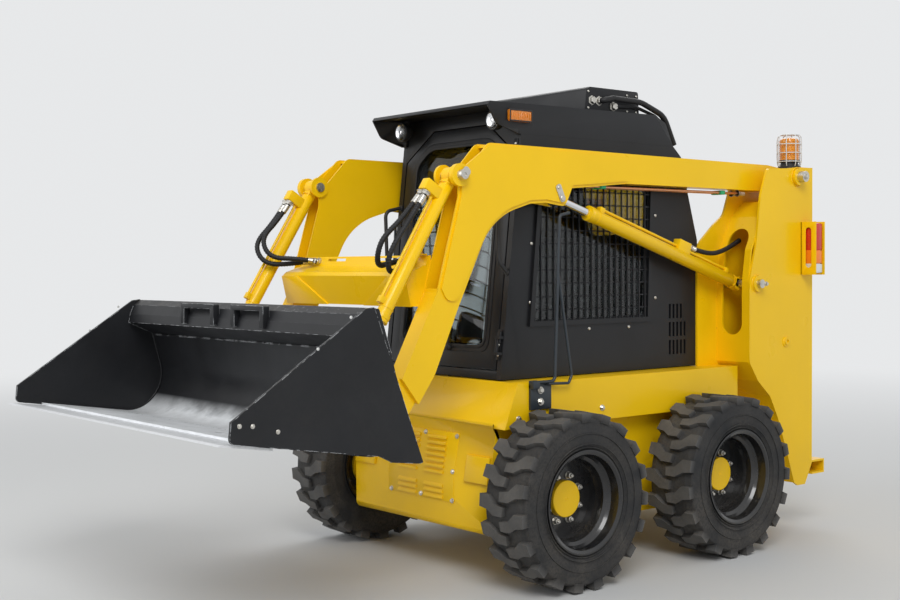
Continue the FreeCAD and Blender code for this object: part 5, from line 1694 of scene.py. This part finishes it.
class LOADER_OT_barrels(bpy.types.Operator):
    """Builds the cylinder barrels with their eyes, port blocks and pipes"""

    bl_idname = "loader.barrels"
    bl_label = "Cylinder Barrels"

    def execute(self, context):
        for kind, (base, tip, shown, radius, _, port, rear_pipe) in CYLINDERS.items():
            length = (Vector(tip) - Vector(base)).length - shown
            start, port_length, port_height = port
            for side, sign in SIDES:
                body = turned([(radius * 0.72, 0.048), (radius, 0.060), (radius, length - 0.0005)], 48)
                eye = turned([(0.034, -0.024), (0.036, -0.022), (0.036, 0.022), (0.034, 0.024)], 40)
                flat = radius * 0.7
                seat, over = radius * 0.6, radius + 0.012
                port_end = start + port_length
                clip = block((length - 0.090, -0.014, seat), (length - 0.060, 0.014, radius + 0.020))
                parts = [stood(body, (0, 0, 0), (1, 0, 0)), stood(eye, (0, 0, 0), (0, 1, 0)),
                         bevelled(block((0.0, -0.024, -flat), (0.066, 0.024, flat)), 0.003),
                         bevelled(block((start, -0.022, seat), (port_end, 0.022, port_height)), 0.003),
                         bevelled(clip, 0.002),
                         straight_rod((port_end - 0.005, 0, over), (length - 0.075, 0, over), 0.007)]
                if rear_pipe:
                    parts += [bevelled(block((0.096, -0.014, seat), (0.120, 0.014, radius + 0.020)), 0.002),
                              straight_rod((0.108, 0, over), (start + 0.005, 0, over), 0.007)]
                piece = moved(joined(parts), cylinder_frame(base, tip, sign * ARM_CENTRE_Y))
                set_down(piece, f"{kind}_barrel_body_{side}", f"{kind}_barrel_{side}", "yellow_paint", 40.0)
                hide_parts(f"{kind}_barrel_{side}")
        return {"FINISHED"}


class LOADER_OT_pins(bpy.types.Operator):
    """Builds the tilt pins with their keeper flags and the lift rods' keeper plates"""

    bl_idname = "loader.pins"
    bl_label = "Arm Pins"

    def execute(self, context):
        pins = []
        for sign in (1, -1):
            out = (0, sign, 0)
            x, z = TILT_TOP_PIN
            shaft = turned([(0.022, 0.455), (0.022, 0.609), (0.0195, 0.6135), (0.009, 0.6135),
                            (0.008, 0.6100)], 40)
            flag = side_plate([(x + 0.016, z + 0.012, 0.014), (x - 0.014, z + 0.040, 0.014),
                               (x - 0.042, z + 0.012, 0.014), (x - 0.012, z - 0.018, 0.014)],
                              sign * 0.600, sign * 0.606)
            pins += [stood(shaft, (x, 0, z), out), bevelled(flag, 0.001)]
            x, z = LIFT_ROD_PIN
            keeper = side_plate([(x - 0.012, z - 0.013, 0.012), (x + 0.018, z - 0.026, 0.012),
                                 (x + 0.054, z + 0.048, 0.012), (x + 0.024, z + 0.063, 0.012)],
                                sign * 0.5723, sign * 0.5773)
            end = turned([(0.013, 0.576), (0.013, 0.581), (0.011, 0.5825)])
            pins += [bevelled(keeper, 0.001), stood(end, (x + 0.010, 0, z - 0.004), out),
                     stood(button_screw(0.007, 0.005), (x + 0.034, sign * 0.5773, z + 0.042), out)]
        keepers = joined(pins)
        set_down(keepers, "arm_pins", "lift_arms", "zinc", 30.0)
        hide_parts("tilt_pins")
        return {"FINISHED"}


class LOADER_OT_cross_fittings(bpy.types.Operator):
    """Adds the hose glands and end gussets of the cross-member, and the steps on the bucket's top edge"""

    bl_idname = "loader.cross_fittings"
    bl_label = "Glands and Steps"

    def execute(self, context):
        places = [facing((0.6495, sign * y, 1.421), (1, 0, 0)) for sign in (1, -1) for y in (0.330, 0.376)]
        gland = joined([turned([(0.0170, 0.0), (0.0170, 0.018), (0.0150, 0.020)], 6),
                        turned([(0.0142, 0.018), (0.0142, 0.0305), (0.0130, 0.0325)], 28)])
        set_down(joined_copies(gland, places), "hose_glands", "lift_arms", "zinc", 30.0)
        gussets = []
        for sign in (1, -1):
            points = []
            for y, z in ((0.475, 1.355), (0.350, 1.355), (0.136, 1.2275), (0.475, 1.2275)):
                points.append((0.7692 - (1.355 - z) * 0.236, sign * y, z))
            gussets.append(bevelled(plate(points, Vector((1.0, 0.0, -0.236)).normalized() * 0.008), 0.0015))
        set_down(joined(gussets), "cross_member_gussets", "lift_arms", "yellow_paint")
        steps = []
        for y0, y1 in ((-0.395, -0.107), (0.033, 0.289)):
            outline = [(y0, 1.150), (y0 + 0.030, 1.150), (y0 + 0.030, 1.219, 0.006),
                       (y1 - 0.030, 1.219, 0.006), (y1 - 0.030, 1.150), (y1, 1.150), (y1, 1.240, 0.006),
                       (y0, 1.240, 0.006)]
            steps.append(bevelled(front_plate(outline, 1.316, 1.346), 0.002))
        set_down(joined(steps), "bucket_steps", "bucket", "bucket_paint")
        return {"FINISHED"}


# Loader fittings

class LOADER_OT_cylinders(bpy.types.Operator):
    """Adds the glands, wiper rings, weld rings and grease nipples of the cylinders"""

    bl_idname = "loader.cylinders"
    bl_label = "Cylinder Fittings"

    def execute(self, context):
        for side, sign in SIDES:
            y = sign * ARM_CENTRE_Y
            for kind, (base, tip, shown, radius, rod, _, _) in CYLINDERS.items():
                barrel = f"{kind}_barrel_{side}"
                reach = Vector((tip[0] - base[0], 0.0, tip[1] - base[1]))
                length = reach.length - shown
                steps = ((0.0006, -0.030), (0.0034, -0.028), (0.0034, -0.010), (0.0014, -0.008),
                         (0.0014, -0.004), (0.0030, -0.002), (0.0030, 0.006), (-0.006, 0.0085))
                wiper = ((0.004, 0.0085), (0.0035, 0.0115), (0.0004, 0.0120))
                gland = turned([(radius + r, at) for r, at in steps] + [(rod + r, at) for r, at in wiper], 40)
                gland = stood(gland, on_barrel(base, tip, length, 0.0, y), reach)
                set_down(gland, f"{kind}_gland_{side}", barrel, "yellow_paint", 30.0)
                welds = []
                for at in (0.044, length - 0.055):
                    ring = hoop((0, 0, 0), radius + 0.0006, 0.0028, count=20)
                    welds.append(stood(ring, on_barrel(base, tip, at, 0.0, y), reach))
                set_down(joined(welds), f"{kind}_barrel_welds_{side}", barrel, "yellow_paint", 60.0)
                nipple = turned([(0.0050, 0.0), (0.0050, 0.004), (0.0032, 0.005), (0.0032, 0.008),
                                 (0.0042, 0.010), (0.0024, 0.013)], 12)
                nipple = stood(nipple, on_barrel(base, tip, -0.0345, 0.0, y), -reach)
                set_down(nipple, f"{kind}_nipple_{side}", barrel, "zinc", 30.0)
                eye_ring = turned([(rod + 0.0008, -0.010), (rod + 0.0050, -0.003), (rod + 0.0050, 0.003),
                                   (rod + 0.0008, 0.006)], 28)
                eye_ring = stood(eye_ring, on_barrel(base, tip, reach.length - 0.041, 0.0, y), reach)
                set_down(eye_ring, f"{kind}_rod_weld_{side}", f"{kind}_rod_{side}", "zinc", 30.0)
        return {"FINISHED"}


class LOADER_OT_arm_pipes(bpy.types.Operator):
    """Runs the steel pipes under the lift arms, with their clips and unions"""

    bl_idname = "loader.arm_pipes"
    bl_label = "Arm Pipes"

    def execute(self, context):
        for side, sign in SIDES:
            pipes, clips, unions = [], [], []
            for y in (0.500, 0.538):
                run = ((-0.215, 1.768), (-0.262, 1.7595), (-0.330, 1.7575), (-0.800, 1.7585),
                       (-1.200, 1.7600), (-1.330, 1.7605))
                pipes.append(wire([(x, sign * y, z) for x, z in run], 0.0062, sides=3))
                unions.append(stood(crimp(0.052, 0.0125), (-1.318, sign * y, 1.7605), (-1, 0, 0)))
            for x in (-0.325, -1.190):
                clip = block((x - 0.016, sign * 0.485, 1.7495), (x + 0.016, sign * 0.553, 1.7700))
                clips.append(bevelled(clip, 0.004))
            set_down(joined(pipes), f"arm_pipes_{side}", "lift_arms", "copper", 60.0)
            set_down(joined(clips), f"arm_pipe_clips_{side}", "lift_arms", "green_plastic")
            set_down(joined(unions), f"arm_pipe_unions_{side}", "lift_arms", "zinc", 30.0)
        return {"FINISHED"}


class LOADER_OT_couplings(bpy.types.Operator):
    """Adds the quick couplings for attachments beside the left arm's foot"""

    bl_idname = "loader.couplings"
    bl_label = "Quick Couplings"

    def execute(self, context):
        bracket = bevelled(block((0.655, 0.402, 1.4415), (0.705, 0.470, 1.4475)), 0.0015)
        set_down(bracket, "coupling_bracket", "lift_arms", "yellow_paint")
        body = [(0.0145, 0.0), (0.0145, 0.014), (0.0125, 0.016), (0.0125, 0.020), (0.0165, 0.022),
                (0.0165, 0.040), (0.0150, 0.042), (0.0150, 0.052), (0.0110, 0.054)]
        places = [facing((0.680, y, 1.4475), (0.25, 0.0, 1.0)) for y in (0.420, 0.452)]
        set_down(joined_copies(turned(body, 24), places), "couplings", "lift_arms", "brass", 30.0)
        return {"FINISHED"}


class LOADER_OT_tower_fittings(bpy.types.Operator):
    """Adds the pivot bolts, washers and filler rings of the towers"""

    bl_idname = "loader.tower_fittings"
    bl_label = "Tower Fittings"

    def execute(self, context):
        for side, sign in SIDES:
            out = (0, sign, 0)
            for name, (x, z), radius in (("pivot", LIFT_PIVOT, 0.016), ("base", LIFT_BASE_PIN, 0.012)):
                bolt = stood(dome_bolt(radius, 0.011), (x, sign * 0.706, z), out)
                set_down(bolt, f"{name}_bolt_{side}", "frame", "zinc", 30.0)
            plug = turned([(0.026, 0.0), (0.026, 0.004), (0.023, 0.007), (0.016, 0.007), (0.013, 0.003),
                           (0.006, 0.003)])
            plug = stood(plug, (-1.575, sign * 0.650, 0.994), out)
            set_down(plug, f"tower_plug_{side}", "frame", "yellow_paint", 30.0)
            bead = [hoop((x, sign * 0.651, z), radius, 0.0030, "y")
                    for (x, z), radius in ((LIFT_PIVOT, 0.050), (LIFT_BASE_PIN, 0.043))]
            set_down(joined(bead), f"tower_welds_{side}", "frame", "yellow_paint", 60.0)
        return {"FINISHED"}


# Wheel trim

# Turn of the tyre valve about the wheel's centre, in radians
VALVE_ANGLE = 0.9


class LOADER_OT_wheel_trim(bpy.types.Operator):
    """Adds the tyres' sidewall rings, the valves and the hub caps' screws"""

    bl_idname = "loader.wheel_trim"
    bl_label = "Wheel Trim"

    def execute(self, context):
        for axle, x in AXLES:
            for side, sign in SIDES:
                body = f"wheel_{axle}_{side}"
                rings = [hoop((x, sign * y, WHEEL_CENTRE_Z), radius, thick, "y", 40) for radius, y, thick in (
                    (0.2360, 0.8500, 0.0030), (0.2520, 0.8590, 0.0022), (0.2960, 0.8590, 0.0022))]
                set_down(joined(rings), f"tyre_rings_{axle}_{side}", body, "tyre_rubber", 60.0)
                c, s = math.cos(VALVE_ANGLE), math.sin(VALVE_ANGLE)
                valve = wire([(x + r * c, sign * y, WHEEL_CENTRE_Z + r * s)
                              for r, y in ((0.165, 0.699), (0.165, 0.725), (0.160, 0.745))], 0.0042, steps=5)
                set_down(valve, f"valve_{axle}_{side}", body, "black_plastic", 60.0)
                plug = turned([(0.0095, 0.0), (0.0095, 0.0005), (0.008, 0.0018), (0.0045, 0.0018),
                               (0.004, 0.0006)], 20)
                plug = stood(plug, (x, sign * 0.734, WHEEL_CENTRE_Z), (0, sign, 0))
                set_down(plug, f"hub_cap_plug_{axle}_{side}", body, "yellow_paint", 30.0)
        return {"FINISHED"}


# Panel and registration

PIECE_OPERATORS = (
    LOADER_OT_stage,
    LOADER_OT_finishes,
    LOADER_OT_hoses,
    LOADER_OT_hull,
    LOADER_OT_cab_front,
    LOADER_OT_aircon,
    LOADER_OT_lamp_bodies,
    LOADER_OT_stays,
    LOADER_OT_barrels,
    LOADER_OT_pins,
    LOADER_OT_cross_fittings,
    LOADER_OT_contours,
    LOADER_OT_rear_fittings,
    LOADER_OT_wheel_nuts,
    LOADER_OT_wheel_trim,
    LOADER_OT_fasteners,
    LOADER_OT_lamps,
    LOADER_OT_beacon,
    LOADER_OT_door_trim,
    LOADER_OT_levers,
    LOADER_OT_seat,
    LOADER_OT_cylinders,
    LOADER_OT_arm_pipes,
    LOADER_OT_couplings,
    LOADER_OT_tower_fittings,
)


class LOADER_PT_panel(bpy.types.Panel):
    """Lists the settings and the operators that dress the loader."""

    bl_label = "Skid Steer Loader"
    bl_idname = "LOADER_PT_panel"
    bl_space_type = "VIEW_3D"
    bl_region_type = "UI"
    bl_category = "Loader"

    def draw(self, context):
        layout = self.layout
        for settings in (context.scene.loader_finish, context.scene.loader_wheels):
            box = layout.box()
            for name in settings.__annotations__:
                box.prop(settings, name)
        for operator in PIECE_OPERATORS:
            layout.operator(operator.bl_idname)


CLASSES = (FinishSettings, WheelSettings) + PIECE_OPERATORS + (LOADER_PT_panel,)


def register():
    for cls in CLASSES:
        bpy.utils.register_class(cls)
    bpy.types.Scene.loader_finish = bpy.props.PointerProperty(type=FinishSettings)
    bpy.types.Scene.loader_wheels = bpy.props.PointerProperty(type=WheelSettings)


def unregister():
    del bpy.types.Scene.loader_wheels
    del bpy.types.Scene.loader_finish
    for cls in reversed(CLASSES):
        bpy.utils.unregister_class(cls)


def main():
    register()
    for operator in PIECE_OPERATORS:
        group, name = operator.bl_idname.split(".")
        getattr(getattr(bpy.ops, group), name)()


if __name__ == "__main__":
    main()
